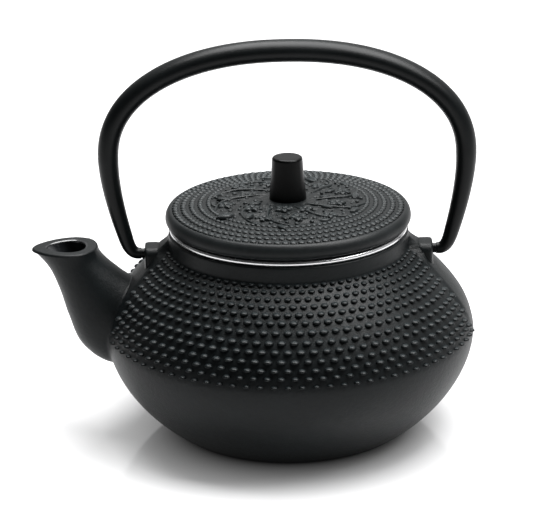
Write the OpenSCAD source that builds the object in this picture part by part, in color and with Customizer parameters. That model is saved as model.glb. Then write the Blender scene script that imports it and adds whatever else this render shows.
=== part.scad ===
// Cast iron teapot with a stainless tea infuser and a bail handle.
// Origin: centre of the flat base, on the body's axis. +Z is up and the spout points to -X.
// Lengths are millimetres.

/* [Body] */
// Largest radius of the body
body_r = 57.5; // [56:0.5:59]
// Height of the widest circle of the body above the base
belly_z = 32; // [31:0.1:34]
// Radius of the flat base
base_r = 35; // [32:0.5:38]
// Thickness of the cast wall
wall = 3.2; // [2.6:0.1:3.6]
// Thickness of the floor
floor_t = 3.8; // [3:0.1:5]

/* [Mouth] */
// Outer radius of the collar
collar_r = 37.2; // [36.8:0.1:37.8]
// Height of the collar's top above the base
collar_z = 64.4; // [63.4:0.1:65.4]
// Radius of the mouth inside the collar
mouth_r = 34.2; // [34:0.1:34.4]

/* [Lid] */
// Radius of the lid
lid_r = 38.05; // [37.6:0.05:38.5]
// Height from the lid's edge to the knob's seat
lid_crown = 3; // [2:0.1:4]
// Height of the knob
knob_h = 13.4; // [11:0.1:14]

/* [Handle] */
// Half width of the handle's centre line
arch_w = 55.1; // [54.5:0.1:57]
// Height of the handle's centre line at the top
arch_top = 121.5; // [120:0.5:126]
// Half thickness of the bar, seen from the side
bar_half_t = 3.2; // [2.8:0.1:3.6]
// Half depth of the bar, front to back
bar_half_d = 4.1; // [3.4:0.1:4.6]
// Radius of the pegs at the handle's ends
peg_r = 1.5; // [1.4:0.05:1.6]
// Radial clearance of the pegs in the lugs
peg_gap = 0.08; // [0.04:0.01:0.1]

/* [Infuser] */
// Overall depth of the infuser below the top of its rim
infuser_depth = 53; // [45:1:56]
// Thickness of the pressed sheet
sheet_t = 0.6; // [0.5:0.1:0.8]

/* [Hidden] */

round_fn = 96;
eps = 0.01;

// Body: two superelliptic arcs meet at the belly
low_swell = 1.8;
top_swell = 1.62;
shoulder_r = 38;
shoulder_z = collar_z - 6;
arc_steps = 12;

// Lugs on the shoulder
lug_in_x = 39.9;
lug_out_x = 44.7;
lug_round = 2.6;
lug_half_w = 5.2;
peg_z = 57.1;
lug_root_z = 50;
peg_end_x = 40.2;
peg_start_x = 47;

// Web between the collar and each lug, seen from the front
web_half_w = 3.6;
web_outline = [[36.4, 53], [36.4, 62.4], [37.3, 62.2], [38.8, 60.9], [41.6, 58.9], [42.4, 53]];

// Spout stations, from the root inside the wall to the mouth. Each row is the lower edge x and z,
// the upper edge x and z, the half width across, the wall at the edges and the lip's point.
spout = [
    [-44.0, 22.5, -41.0, 45.0, 10.6, 4.6, 0.00],
    [-56.5, 21.8, -47.0, 48.2, 11.8, 4.6, 0.00],
    [-65.2, 28.2, -51.0, 50.6, 11.5, 4.2, 0.00],
    [-69.0, 37.5, -54.3, 53.2, 10.7, 3.8, 0.02],
    [-71.6, 46.4, -57.0, 55.6, 9.9, 3.4, 0.06],
    [-74.8, 53.8, -58.7, 57.8, 9.2, 3.3, 0.13],
    [-79.8, 59.6, -59.4, 60.0, 8.9, 3.7, 0.28]
];
spout_sides = 28;
spout_steps = 4;
channel_sides = 20;
channel_extend = 0.4;

// Handle path
arch_z = 88;
arch_power = 2.2;
arch_bulge = 0.25;
leg_end = [50.6, 62.6];
hook_end_x = 46.4;
stub_end_x = 45.8;
leg_half_t = 2.3;
leg_half_d = 2.5;
hook_half = 1.75;
bar_sides = 20;
arch_steps = 20;
leg_steps = 9;
hook_steps = 6;

// Infuser
rim_z = collar_z + 0.1;
rim_h = 1.7;
rim_top = rim_z + rim_h;
rim_out_r = 36.9;
rim_bead = 0.85;
skirt_out_r = 33.6;
skirt_drop = 12;
mesh_t = 0.6;
mesh_out_r = skirt_out_r - sheet_t;
mesh_in_r = mesh_out_r - mesh_t;
infuser_floor_z = rim_top - infuser_depth;
band_h = 5;
band_lip = 4;

// Lid
lid_z = rim_top + 0.1;
lid_side_h = 5;
lid_edge_z = lid_z + lid_side_h;
lid_seat_z = lid_edge_z + lid_crown;
lid_skirt_out_r = 32.1;
lid_skirt_in_r = 29.7;
lid_skirt_drop = 5;
lid_web = 3.9;
knob_base_r = 5.75;
knob_top_r = 4.75;
knob_chamfer = 0.8;
screw_r = 2;
screw_gap = 0.05;
screw_reach = 8;
screw_head_r = 3.7;
screw_head_h = 2.2;
slot_w = 1;
slot_depth = 1.1;
washer_r = 5.5;
washer_t = 0.8;
under_seat_z = lid_seat_z - lid_web;

iron = [0.11, 0.115, 0.115];
lid_iron = [0.16, 0.165, 0.165];
steel = [0.78, 0.79, 0.8];
mesh_steel = [0.62, 0.63, 0.64];

// Point of a superelliptic quarter with half axes a and b at the parameter angle t
function super_point(a, b, power, t) = [a * pow(cos(t), 2 / power), b * pow(sin(t), 2 / power)];

// Half height of the full superellipse that has radius r at height h from its centre
function super_height(a, r, h, power) = h / pow(1 - pow(r / a, power), 1 / power);

// Parameter angle at which a superellipse with half height b reaches the height h
function super_angle(b, h, power) = asin(pow(h / b, power / 2));

// Parameter angle at which a superellipse with half width a reaches the radius r
function super_angle_r(a, r, power) = acos(pow(r / a, power / 2));

low_half = super_height(body_r, base_r, belly_z, low_swell);
top_half = super_height(body_r, shoulder_r, shoulder_z - belly_z, top_swell);

// Arc from the angle from_t up to the belly, below it
function low_arc(a, b, from_t) = [
    for (i = [0:arc_steps])
        let (p = super_point(a, b, low_swell, from_t * (1 - i / arc_steps)))
            [p[0], belly_z - p[1]]
];

// Arc from the belly up to the angle to_t, above it
function top_arc(a, b, to_t) = [
    for (i = [1:arc_steps])
        let (p = super_point(a, b, top_swell, to_t * i / arc_steps))
            [p[0], belly_z + p[1]]
];

body_outline = concat(
    [[0, 0]],
    low_arc(body_r, low_half, super_angle(low_half, belly_z, low_swell)),
    top_arc(body_r, top_half, super_angle(top_half, shoulder_z - belly_z, top_swell)),
    [[collar_r, shoulder_z + 1.4], [collar_r, collar_z - 0.6], [collar_r - 0.6, collar_z],
     [0, collar_z]]
);

cavity_outline = concat(
    [[0, floor_t]],
    low_arc(body_r - wall, low_half - wall,
            super_angle(low_half - wall, belly_z - floor_t, low_swell)),
    top_arc(body_r - wall, top_half - wall, super_angle_r(body_r - wall, mouth_r, top_swell)),
    [[mouth_r, collar_z + 1], [0, collar_z + 1]]
);

// Catmull-Rom point between b and c
function spline(a, b, c, d, t) =
    0.5 * (2 * b + (c - a) * t + (2 * a - 5 * b + 4 * c - d) * t * t
           + (3 * b - a - 3 * c + d) * t * t * t);

// All stations of a list, with steps between its rows
function refine(rows, steps) = [
    for (i = [0:len(rows) - 2], k = [0:steps - 1])
        spline(rows[max(i - 1, 0)], rows[i], rows[i + 1], rows[min(i + 2, len(rows) - 1)],
               k / steps),
    rows[len(rows) - 1]
];

// Ring of points between the lower and upper edges of a spout station
function spout_ring(s, sides, inset) =
    let (low = [s[0], s[1]], high = [s[2], s[3]],
         along = (high - low) / norm(high - low),
         half = norm(high - low) / 2 - inset * s[5],
         mid = (low + high) / 2,
         across = s[4] - inset * s[5])
    [for (k = [0:sides - 1])
        let (a = 360 * k / sides, c = mid + along * half * cos(a),
             y = -across * sin(a) * (1 + s[6] * cos(a)))
            [c[0], y, c[1]]];

// Triangles round a stack of rings, with flat ends
function tube_faces(rings, sides) = concat(
    [for (r = [0:rings - 2], k = [0:sides - 1])
        let (a = r * sides + k, b = r * sides + (k + 1) % sides)
            [a, b, b + sides]],
    [for (r = [0:rings - 2], k = [0:sides - 1])
        let (a = r * sides + k, b = r * sides + (k + 1) % sides)
            [a, b + sides, a + sides]],
    [[for (k = [sides - 1:-1:0]) k]],
    [[for (k = [0:sides - 1]) (rings - 1) * sides + k]]
);

module tube(rings, sides) {
    polyhedron(points = [for (ring = rings, p = ring) p], faces = tube_faces(len(rings), sides));
}

spout_stations = refine(spout, spout_steps);
mouth_station = spout[len(spout) - 1];
mouth_above = [mouth_station[0], mouth_station[1] + channel_extend, mouth_station[2],
               mouth_station[3] + channel_extend, mouth_station[4], mouth_station[5],
               mouth_station[6]];

module spout_body() {
    tube([for (s = spout_stations) spout_ring(s, spout_sides, 0)], spout_sides);
}

module spout_channel() {
    tube([for (s = concat(spout_stations, [mouth_above])) spout_ring(s, channel_sides, 1)],
         channel_sides);
}

module lug(side) {
    mirror([side < 0 ? 1 : 0, 0, 0]) {
        for (y = [-1, 1] * (lug_half_w - lug_round))
            translate([lug_in_x, y, peg_z])
                rotate([0, 90, 0])
                    cylinder(r = lug_round, h = lug_out_x - lug_in_x, $fn = 48);
        translate([lug_in_x, -(lug_half_w - lug_round), peg_z])
            cube([lug_out_x - lug_in_x, 2 * (lug_half_w - lug_round), lug_round]);
        translate([lug_in_x, -lug_half_w, lug_root_z])
            cube([lug_out_x - lug_in_x, 2 * lug_half_w, peg_z - lug_root_z]);
        translate([0, web_half_w, 0])
            rotate([90, 0, 0])
                linear_extrude(2 * web_half_w) polygon(web_outline);
    }
}

module lug_bore(side) {
    mirror([side < 0 ? 1 : 0, 0, 0])
        translate([peg_end_x - 0.3, 0, peg_z])
            rotate([0, 90, 0])
                cylinder(r = peg_r + peg_gap, h = 8, $fn = 48);
}

module pot() {
    color(iron)
        difference() {
            union() {
                rotate_extrude($fn = round_fn) polygon(body_outline);
                spout_body();
                for (side = [-1, 1]) lug(side);
            }
            rotate_extrude($fn = round_fn) polygon(cavity_outline);
            spout_channel();
            for (side = [-1, 1]) lug_bore(side);
        }
}

// The lid rests on the infuser's rim; its skirt drops inside
lid_outline = concat(
    [[screw_r + 0.2, under_seat_z], [washer_r + 1, under_seat_z], [12, under_seat_z - 0.2],
     [lid_skirt_in_r, lid_z + 1.4], [lid_skirt_in_r, lid_z - lid_skirt_drop],
     [lid_skirt_out_r, lid_z - lid_skirt_drop], [lid_skirt_out_r, lid_z],
     [35.4, lid_z], [37.5, lid_z + 0.9], [lid_r, lid_z + 2.2], [lid_r - 0.1, lid_z + 3.4],
     [lid_r - 0.6, lid_z + 4.5], [lid_r - 1.5, lid_edge_z]],
    [for (i = [1:7])
        let (r = (lid_r - 1.5) + (knob_base_r + 0.6 - (lid_r - 1.5)) * i / 7,
             u = (r - knob_base_r - 0.6) / (lid_r - 1.5 - knob_base_r - 0.6))
            [r, lid_seat_z - lid_crown * u * u]],
    [[screw_r + 0.2, lid_seat_z]]
);

module lid() {
    color(lid_iron) rotate_extrude($fn = round_fn) polygon(lid_outline);
}

module lid_knob() {
    color(iron)
        difference() {
            rotate_extrude($fn = 64)
                polygon([[0, lid_seat_z], [knob_base_r, lid_seat_z],
                         [knob_top_r, lid_seat_z + knob_h - knob_chamfer],
                         [knob_top_r - knob_chamfer, lid_seat_z + knob_h],
                         [0, lid_seat_z + knob_h]]);
            translate([0, 0, lid_seat_z - 1])
                cylinder(r = screw_r + screw_gap, h = screw_reach + 1.5, $fn = 32);
        }
}

module knob_washer() {
    color(steel)
        translate([0, 0, under_seat_z - washer_t])
            difference() {
                cylinder(r = washer_r, h = washer_t, $fn = 48);
                translate([0, 0, -1]) cylinder(r = screw_r + 0.2, h = washer_t + 2, $fn = 32);
            }
}

module knob_screw() {
    head_z = under_seat_z - washer_t - screw_head_h;
    color(steel)
        difference() {
            union() {
                translate([0, 0, head_z]) cylinder(r = screw_head_r, h = screw_head_h, $fn = 48);
                translate([0, 0, head_z])
                    cylinder(r = screw_r, h = lid_seat_z + screw_reach - head_z, $fn = 32);
            }
            translate([-screw_head_r - 1, -slot_w / 2, head_z - 1])
                cube([2 * screw_head_r + 2, slot_w, slot_depth + 1]);
        }
}

// Point of a cubic curve through a and d with the handles b and c
function bezier(a, b, c, d, t) =
    a * pow(1 - t, 3) + 3 * b * t * pow(1 - t, 2) + 3 * c * t * t * (1 - t) + d * pow(t, 3);

function mix(a, b, t) = a + (b - a) * t;

// Stations of the handle's right half, from the peg to the top: x, z, half thickness, half depth
hook_stations = [
    for (i = [0:hook_steps - 1])
        let (t = 1 - i / hook_steps,
             p = bezier(leg_end, [49.7, 59.2], [48.7, peg_z], [hook_end_x, peg_z], t))
            [p[0], p[1], mix(leg_half_t, hook_half, t), mix(leg_half_d, hook_half, t)]
];
leg_stations = [
    for (i = [0:leg_steps - 1])
        let (t = 1 - i / leg_steps,
             p = bezier([arch_w, arch_z], [arch_w, arch_z - 8], [arch_w - 2.2, 70.5], leg_end, t))
            [p[0], p[1], mix(bar_half_t, leg_half_t, t), mix(bar_half_d, leg_half_d, t)]
];
arch_stations = [
    for (i = [0:arch_steps])
        let (t = 90 * i / arch_steps,
             p = super_point(arch_w, arch_top - arch_z, arch_power, t))
            [p[0], arch_z + p[1], bar_half_t + arch_bulge * sin(t), bar_half_d + arch_bulge * sin(t)]
];
right_half = concat([[stub_end_x, peg_z, hook_half, hook_half]], hook_stations, leg_stations,
                    arch_stations);
handle_stations = concat(
    right_half,
    [for (i = [len(right_half) - 2:-1:0])
        let (s = right_half[i]) [-s[0], s[1], s[2], s[3]]]
);

function handle_ring(i) =
    let (last = len(handle_stations) - 1,
         s = handle_stations[i], a = handle_stations[max(i - 1, 0)],
         b = handle_stations[min(i + 1, last)],
         dir = [b[0] - a[0], b[1] - a[1]] / norm([b[0] - a[0], b[1] - a[1]]))
    [for (k = [0:bar_sides - 1])
        let (p = 360 * k / bar_sides)
            [s[0] - dir[1] * s[2] * cos(p), s[3] * sin(p), s[1] + dir[0] * s[2] * cos(p)]];

module handle() {
    color(iron) {
        tube([for (i = [0:len(handle_stations) - 1]) handle_ring(i)], bar_sides);
        for (side = [-1, 1])
            mirror([side < 0 ? 1 : 0, 0, 0])
                translate([peg_end_x, 0, peg_z])
                    rotate([0, 90, 0])
                        cylinder(r = peg_r, h = peg_start_x - peg_end_x, $fn = 48);
    }
}

// Rolled lip, flat flange and skirt of the pressed rim
module infuser_rim() {
    color(steel)
        rotate_extrude($fn = round_fn) {
            translate([rim_out_r - rim_bead, rim_z + rim_bead]) circle(r = rim_bead, $fn = 32);
            translate([skirt_out_r - sheet_t, rim_top - sheet_t])
                square([rim_out_r - rim_bead - skirt_out_r + sheet_t, sheet_t]);
            translate([skirt_out_r - sheet_t, rim_top - skirt_drop]) square([sheet_t, skirt_drop]);
        }
}

module infuser_mesh_wall() {
    color(mesh_steel)
        translate([0, 0, infuser_floor_z + sheet_t])
            difference() {
                cylinder(r = mesh_out_r, h = infuser_depth - sheet_t - 8, $fn = round_fn);
                translate([0, 0, -1])
                    cylinder(r = mesh_in_r, h = infuser_depth, $fn = round_fn);
            }
}

module infuser_base_band() {
    color(steel)
        translate([0, 0, infuser_floor_z])
            difference() {
                cylinder(r = skirt_out_r, h = band_h, $fn = round_fn);
                translate([0, 0, sheet_t]) cylinder(r = mesh_out_r, h = band_h, $fn = round_fn);
                translate([0, 0, -1]) cylinder(r = mesh_out_r - band_lip, h = 3, $fn = round_fn);
            }
}

module infuser_mesh_floor() {
    color(mesh_steel)
        translate([0, 0, infuser_floor_z + sheet_t])
            cylinder(r = mesh_in_r - eps, h = mesh_t, $fn = round_fn);
}

pot();
lid();
lid_knob();
knob_screw();
knob_washer();
handle();
infuser_rim();
infuser_mesh_wall();
infuser_base_band();
infuser_mesh_floor();
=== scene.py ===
"""Cast iron teapot with a steel infuser and a bail handle, finished round its CAD frame."""

import math

import bmesh
import bpy
from mathutils import Matrix, Vector, noise
from mathutils.bvhtree import BVHTree


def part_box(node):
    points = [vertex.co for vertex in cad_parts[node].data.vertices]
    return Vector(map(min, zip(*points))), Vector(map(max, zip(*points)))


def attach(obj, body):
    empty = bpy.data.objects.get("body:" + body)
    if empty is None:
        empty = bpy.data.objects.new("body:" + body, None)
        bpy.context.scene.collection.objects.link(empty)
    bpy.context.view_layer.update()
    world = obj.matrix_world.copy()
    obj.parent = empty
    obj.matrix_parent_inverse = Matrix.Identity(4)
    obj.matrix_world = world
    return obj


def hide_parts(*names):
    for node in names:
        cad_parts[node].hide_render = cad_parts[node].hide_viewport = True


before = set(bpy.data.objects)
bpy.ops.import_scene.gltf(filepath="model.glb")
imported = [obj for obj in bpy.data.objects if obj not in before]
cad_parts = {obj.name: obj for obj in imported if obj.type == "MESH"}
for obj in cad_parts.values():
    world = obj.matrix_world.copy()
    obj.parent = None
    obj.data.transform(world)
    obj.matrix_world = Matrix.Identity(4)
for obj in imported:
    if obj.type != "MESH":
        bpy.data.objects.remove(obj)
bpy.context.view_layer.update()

bl_info = {
    "name": "Cast Iron Teapot",
    "version": (1, 0, 0),
    "blender": (4, 5, 0),
    "location": "3D View > Sidebar > Teapot",
    "description": "Builds a hobnail cast iron teapot with a lid, a bail handle and an infuser",
    "category": "Object",
}

MM = 0.001

_, POT_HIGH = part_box("pot")
LID_LOW, LID_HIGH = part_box("lid")
KNOB_LOW, KNOB_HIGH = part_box("lid_knob")
SCREW_LOW, SCREW_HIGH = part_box("knob_screw")
WASHER_LOW, WASHER_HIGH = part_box("knob_washer")
RIM_LOW, RIM_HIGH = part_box("infuser_rim")
MESH_LOW, MESH_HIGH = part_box("infuser_mesh_wall")
BAND_LOW, BAND_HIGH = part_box("infuser_base_band")
SIEVE_LOW, SIEVE_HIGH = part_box("infuser_mesh_floor")

# Body of the pot
BODY_R = POT_HIGH.y
BELLY_Z = 32 * MM
BASE_R = 35 * MM
COLLAR_Z = POT_HIGH.z
COLLAR_R = 37.2 * MM
MOUTH_R = 34.2 * MM
SHOULDER_R = 38 * MM
SHOULDER_Z = COLLAR_Z - 6 * MM
NECK_FILLET = 1.6 * MM
LOW_SWELL = 1.8
TOP_SWELL = 1.62

# Spout stations: lower edge x and z, upper edge x and z, half width, wall, point of the lip
SPOUT = (
    (-44.0, 22.5, -41.0, 45.0, 10.6, 4.6, 0.00),
    (-56.5, 21.8, -47.0, 48.2, 11.8, 4.6, 0.00),
    (-65.2, 28.2, -51.0, 50.6, 11.5, 4.2, 0.00),
    (-69.0, 37.5, -54.3, 53.2, 10.7, 3.8, 0.02),
    (-71.6, 46.4, -57.0, 55.6, 9.9, 3.4, 0.06),
    (-74.8, 53.8, -58.7, 57.8, 9.2, 3.3, 0.13),
    (-79.8, 59.6, -59.4, 60.0, 8.9, 3.7, 0.28),
)
SPOUT_STEPS = 8
SPOUT_SIDES = 72
SPOUT_FILLET = 1.1 * MM
LIP_WALL = 1.3 * MM

# Lugs that take the handle's pegs
LUG_IN_X = 39.9 * MM
LUG_OUT_X = 44.7 * MM
LUG_HALF_W = 5.2 * MM
LUG_ROUND = 2.6 * MM
LUG_ROOT_Z = 50 * MM
LUG_FILLET = 1.3 * MM
PEG_Z = 57.1 * MM
PEG_R = 1.5 * MM
PEG_GAP = 0.08 * MM
PEG_END_X = 40.2 * MM

# Hobnail rows: height above the base and share of the full stud size
STUD_ROWS = (
    (58.9, 0.70), (57.5, 0.75), (55.9, 0.80), (54.2, 0.85), (52.4, 0.90), (50.5, 0.95),
    (48.2, 0.98), (45.7, 1.00), (43.4, 1.00), (40.9, 1.00), (38.5, 0.97), (36.3, 0.90),
    (33.9, 0.78),
)
STUD_TURN = math.radians(3.05)
# Smooth tongue below each lug: height above the base and half angle
TONGUE = (
    (62.7, 4.5), (61.0, 5.5), (59.3, 6.5), (56.5, 8.8), (53.5, 10.5), (50.0, 11.8), (46.0, 12.3),
    (42.0, 12.2), (38.0, 11.0), (34.5, 9.4), (32.9, 8.6),
)
TONGUE_EDGE = math.radians(1.8)
# Radius of the tongue where it rises as a web to the collar: height above the base and radius
WEB = (
    (62.7, 37.2), (61.8, 37.75), (60.9, 38.7), (59.7, 40.2), (58.6, 41.2), (57.0, 42.2),
    (55.6, 43.0), (54.0, 44.15),
)
TONGUE_LIFT = 0.65 * MM
TONGUE_LOW_Z = 33 * MM
TONGUE_TOP_Z = 62.7 * MM
WEB_LOW_Z = 54 * MM
# How much wider the right tongue grows at the back, and the heights between which it does
BACK_GROWTH = 1.2
BACK_TOP_Z = 60 * MM
BACK_FALL = 4 * MM

# Handle
ARCH_W = 55.1 * MM
ARCH_TOP = 121.5 * MM
ARCH_Z = 88 * MM
ARCH_POWER = 2.2
BAR_BULGE = 0.25 * MM
LEG_END = (50.6 * MM, 62.6 * MM)
HOOK_END_X = 46.4 * MM
STUB_END_X = 45.8 * MM
LEG_HALF_T = 2.3 * MM
LEG_HALF_D = 2.5 * MM
HOOK_HALF = 1.75 * MM

# Lid
LID_R = LID_HIGH.y
LID_Z = RIM_HIGH.z + 0.1 * MM
LID_EDGE_Z = LID_Z + 5 * MM
LID_SEAT_Z = KNOB_LOW.z
LID_CROWN = LID_SEAT_Z - LID_EDGE_Z
LID_TOP_R = LID_R - 1.5 * MM
LID_FLAT_R = KNOB_HIGH.x + 0.6 * MM
LID_SKIRT_OUT_R = 32.1 * MM
LID_SKIRT_IN_R = 29.7 * MM
LID_SKIRT_Z = LID_LOW.z
LID_UNDER_Z = WASHER_HIGH.z
BEAD_RINGS = (24.6, 27.2, 29.8, 32.4, 34.9)
# Rolled edge of the lid, from below: radius and height above the lid's seat, in millimetres
LID_SIDE = (
    (35.4, 0.0), (36.3, 0.18), (37.1, 0.6), (37.65, 1.2), (37.95, 1.8), (38.05, 2.3),
    (38.03, 2.9), (37.93, 3.5), (37.72, 4.05), (37.42, 4.55), (37.05, 4.95), (36.7, 5.18),
    (36.3, 5.3), (35.95, 5.24), (35.75, 5.02),
)
LID_FACE_R = 35.6 * MM

# Clearance hole of the knob's screw in the lid and the washer
SCREW_HOLE_R = 2.2 * MM

# Camera: place it looks at, height over the horizon, lens, distance and roll
VIEW_TARGET = Vector((-6.6 * MM, 0, 56.2 * MM))
VIEW_RISE = math.radians(19.26)
VIEW_LENS = 209.7
VIEW_DISTANCE = 0.9693
VIEW_ROLL = math.radians(-1.04)

# Painted light: glow that the floor gives off round the pot and far away
FLOOR_GLOW = 0.32
FAR_GLOW = 0.8


def half_height(full_r, at_r, height, power):
    """Half height of the superellipse that narrows from full_r to at_r over a height."""
    return height / (1 - (at_r / full_r) ** power) ** (1 / power)


LOW_HALF = half_height(BODY_R, BASE_R, BELLY_Z, LOW_SWELL)
TOP_HALF = half_height(BODY_R, SHOULDER_R, SHOULDER_Z - BELLY_Z, TOP_SWELL)


def body_radius(z, inset=0.0):
    """Radius of the body's skin at the height z, or of a skin that lies inset below it."""
    if z > SHOULDER_Z and inset == 0:
        rise = min((z - SHOULDER_Z) / NECK_FILLET, 1)
        return COLLAR_R + (SHOULDER_R - COLLAR_R) * (1 - rise) ** 2
    power = TOP_SWELL if z > BELLY_Z else LOW_SWELL
    half = (TOP_HALF if z > BELLY_Z else LOW_HALF) - inset
    share = min(abs(z - BELLY_Z) / half, 1)
    return (BODY_R - inset) * (1 - share**power) ** (1 / power)


def along_table(table, value):
    """Second column of a table at a value of its falling first column."""
    for (high, first), (low, second) in zip(table, table[1:]):
        if low <= value <= high:
            return second + (first - second) * (value - low) / (high - low)
    return 0.0


def smooth_step(share):
    share = min(max(share, 0), 1)
    return share * share * (3 - 2 * share)


def tongue_half(x, y, z):
    """Half angle of the smooth tongue at a height. On the right it is wider at the back."""
    half = math.radians(along_table(TONGUE, z / MM))
    if x > 0 and y > 0:
        half *= 1 + BACK_GROWTH * smooth_step((BACK_TOP_Z - z) / BACK_FALL)
    return half


def tongue_lift(angle, z):
    """How far the tongues below the lugs stand out of the body's skin."""
    aside = abs(math.atan2(math.sin(angle), abs(math.cos(angle))))
    half = tongue_half(math.cos(angle), math.sin(angle), z)
    cover = smooth_step((half + TONGUE_EDGE / 2 - aside) / TONGUE_EDGE)
    if z > WEB_LOW_Z:
        lift = max(along_table(WEB, z / MM) * MM - body_radius(z), 0)
    else:
        lift = TONGUE_LIFT * smooth_step((z - TONGUE_LOW_Z) / (10 * MM))
    return lift * cover


def body_normal(angle, z):
    """Direction out of the body's skin at an angle round the axis and a height."""
    step = 0.05 * MM
    slope = (body_radius(z + step) - body_radius(z - step)) / (2 * step)
    return Vector((math.cos(angle), math.sin(angle), -slope)).normalized()


def on_body(point):
    """The point moved level with itself onto the body's skin."""
    scale = body_radius(point.z) / math.hypot(point.x, point.y)
    return Vector((point.x * scale, point.y * scale, point.z))


def in_body(point):
    return math.hypot(point.x, point.y) < body_radius(point.z)


def lid_top(radius):
    """Height of the lid's upper face at a radius."""
    share = max(radius - LID_FLAT_R, 0) / (LID_TOP_R - LID_FLAT_R)
    return LID_SEAT_Z - LID_CROWN * share * share


# ---------------------------------------------------------------- meshes


def blank(name):
    """New empty mesh object in the scene."""
    piece = bpy.data.objects.new(name, bpy.data.meshes.new(name))
    bpy.context.scene.collection.objects.link(piece)
    return piece


def fill(piece, points, faces):
    """Gives the piece a closed mesh whose faces point out."""
    piece.data.from_pydata([tuple(p) for p in points], [], faces)
    work = bmesh.new()
    work.from_mesh(piece.data)
    bmesh.ops.remove_doubles(work, verts=work.verts, dist=1e-8)
    bmesh.ops.recalc_face_normals(work, faces=work.faces)
    work.to_mesh(piece.data)
    work.free()
    piece.data.update()
    return piece


def revolve(name, outline, segments):
    """Solid turned from an outline of radius and height. It closes on itself or on the axis."""
    points, rings, faces = [], [], []
    for radius, height in outline:
        if radius < 1e-9:
            rings.append([len(points)] * segments)
            points.append((0, 0, height))
            continue
        rings.append(list(range(len(points), len(points) + segments)))
        for k in range(segments):
            angle = 2 * math.pi * k / segments
            points.append((radius * math.cos(angle), radius * math.sin(angle), height))
    on_axis = outline[0][0] < 1e-9 and outline[-1][0] < 1e-9
    pairs = list(zip(rings, rings[1:]))
    if not on_axis:
        pairs.append((rings[-1], rings[0]))
    for low, high in pairs:
        for k in range(segments):
            after = (k + 1) % segments
            corners = (low[k], low[after], high[after], high[k])
            face = list(dict.fromkeys(corners))
            if len(face) > 2:
                faces.append(face)
    return fill(blank(name), points, faces)


def loft(name, rings):
    """Solid through a stack of equal rings of points, each end closed to its centre."""
    sides = len(rings[0])
    points = [p for ring in rings for p in ring]
    faces = []
    for level in range(len(rings) - 1):
        for k in range(sides):
            a = level * sides + k
            b = level * sides + (k + 1) % sides
            faces.append((a, b, b + sides, a + sides))
    for start, ring in ((0, rings[0]), ((len(rings) - 1) * sides, rings[-1])):
        centre = len(points)
        points.append(sum((Vector(p) for p in ring), Vector()) / sides)
        for k in range(sides):
            faces.append((start + k, start + (k + 1) % sides, centre))
    return fill(blank(name), points, faces)


def settle(piece):
    """Replaces the piece's mesh by what its modifiers make of it, and takes them off."""
    bpy.context.view_layer.update()
    graph = bpy.context.evaluated_depsgraph_get()
    made = bpy.data.meshes.new_from_object(
        piece.evaluated_get(graph), preserve_all_data_layers=True, depsgraph=graph
    )
    rough = piece.data
    piece.modifiers.clear()
    piece.data = made
    made.name = piece.name
    bpy.data.meshes.remove(rough)
    return piece


def combine(piece, tool, operation):
    """Joins the tool to the piece or cuts it away, and removes the tool."""
    modifier = piece.modifiers.new("cut", "BOOLEAN")
    modifier.solver = "MANIFOLD"
    modifier.operation = operation
    modifier.object = tool
    settle(piece)
    bpy.data.objects.remove(tool)
    if not piece.data.polygons:
        raise RuntimeError(f"{piece.name} is empty after {operation}")
    return piece


def shade(piece, crease=32):
    """Smooth shading, apart from edges sharper than the crease angle in degrees."""
    piece.data.shade_smooth()
    piece.data.set_sharp_from_angle(angle=math.radians(crease))
    return piece


def mark(piece, name, values):
    """Stores one number on every point. Each is written before the next one is made."""
    attribute = piece.data.attributes.new(name, "FLOAT", "POINT")
    for i, value in enumerate(values):
        attribute.data[i].value = value


def mark_tips(piece):
    """Marks how high each point stands, from 0 at the foot to 1 on top, for the painted highlight on the
    tips.
    """
    mark(piece, "tip", [max(vertex.co.z, 0) for vertex in piece.data.vertices])


def dress(piece, slot, *finishes):
    """Gives the piece its finishes. The slot argument is not used."""
    piece.data.materials.clear()
    for finish in finishes:
        piece.data.materials.append(finish)
    return piece


def arc(centre_r, centre_z, radius, start, end, steps):
    """Points of a circular arc in the outline plane, angles in degrees from +radius."""
    angles = [math.radians(start + (end - start) * i / steps) for i in range(steps + 1)]
    return [(centre_r + radius * math.cos(a), centre_z + radius * math.sin(a)) for a in angles]


def superellipse(half_a, half_b, power, angle):
    """Point of a superellipse's first quarter at a parameter angle."""
    return (
        half_a * math.cos(angle) ** (2 / power),
        half_b * math.sin(angle) ** (2 / power),
    )


def body_arc(inset, low_z, top_z, steps):
    """Outline points of the body's skin, or of one below it, from low_z past the belly to top_z."""
    full_r, low_half, top_half = BODY_R - inset, LOW_HALF - inset, TOP_HALF - inset
    points = []
    swing = math.asin(((BELLY_Z - low_z) / low_half) ** (LOW_SWELL / 2))
    for i in range(steps + 1):
        radius, drop = superellipse(full_r, low_half, LOW_SWELL, swing * (1 - i / steps))
        points.append((radius, BELLY_Z - drop))
    swing = math.asin(((top_z - BELLY_Z) / top_half) ** (TOP_SWELL / 2))
    for i in range(1, steps + 1):
        radius, rise = superellipse(full_r, top_half, TOP_SWELL, swing * i / steps)
        points.append((radius, BELLY_Z + rise))
    return points


def quadratic(a, b, c, t):
    """Point of a quadratic curve from a to c that bends towards b."""
    return a * (1 - t) ** 2 + b * (2 * t * (1 - t)) + c * t * t


def cubic(a, b, c, d, t):
    """Point of a cubic curve from a to d with the handles b and c."""
    s = 1 - t
    return tuple(
        a[i] * s**3 + 3 * b[i] * t * s * s + 3 * c[i] * t * t * s + d[i] * t**3 for i in (0, 1)
    )


# ---------------------------------------------------------------- spout and lugs


def spline(a, b, c, d, t):
    """Catmull-Rom value between b and c."""
    return 0.5 * (
        2 * b
        + (c - a) * t
        + (2 * a - 5 * b + 4 * c - d) * t * t
        + (3 * b - a - 3 * c + d) * t**3
    )


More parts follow.
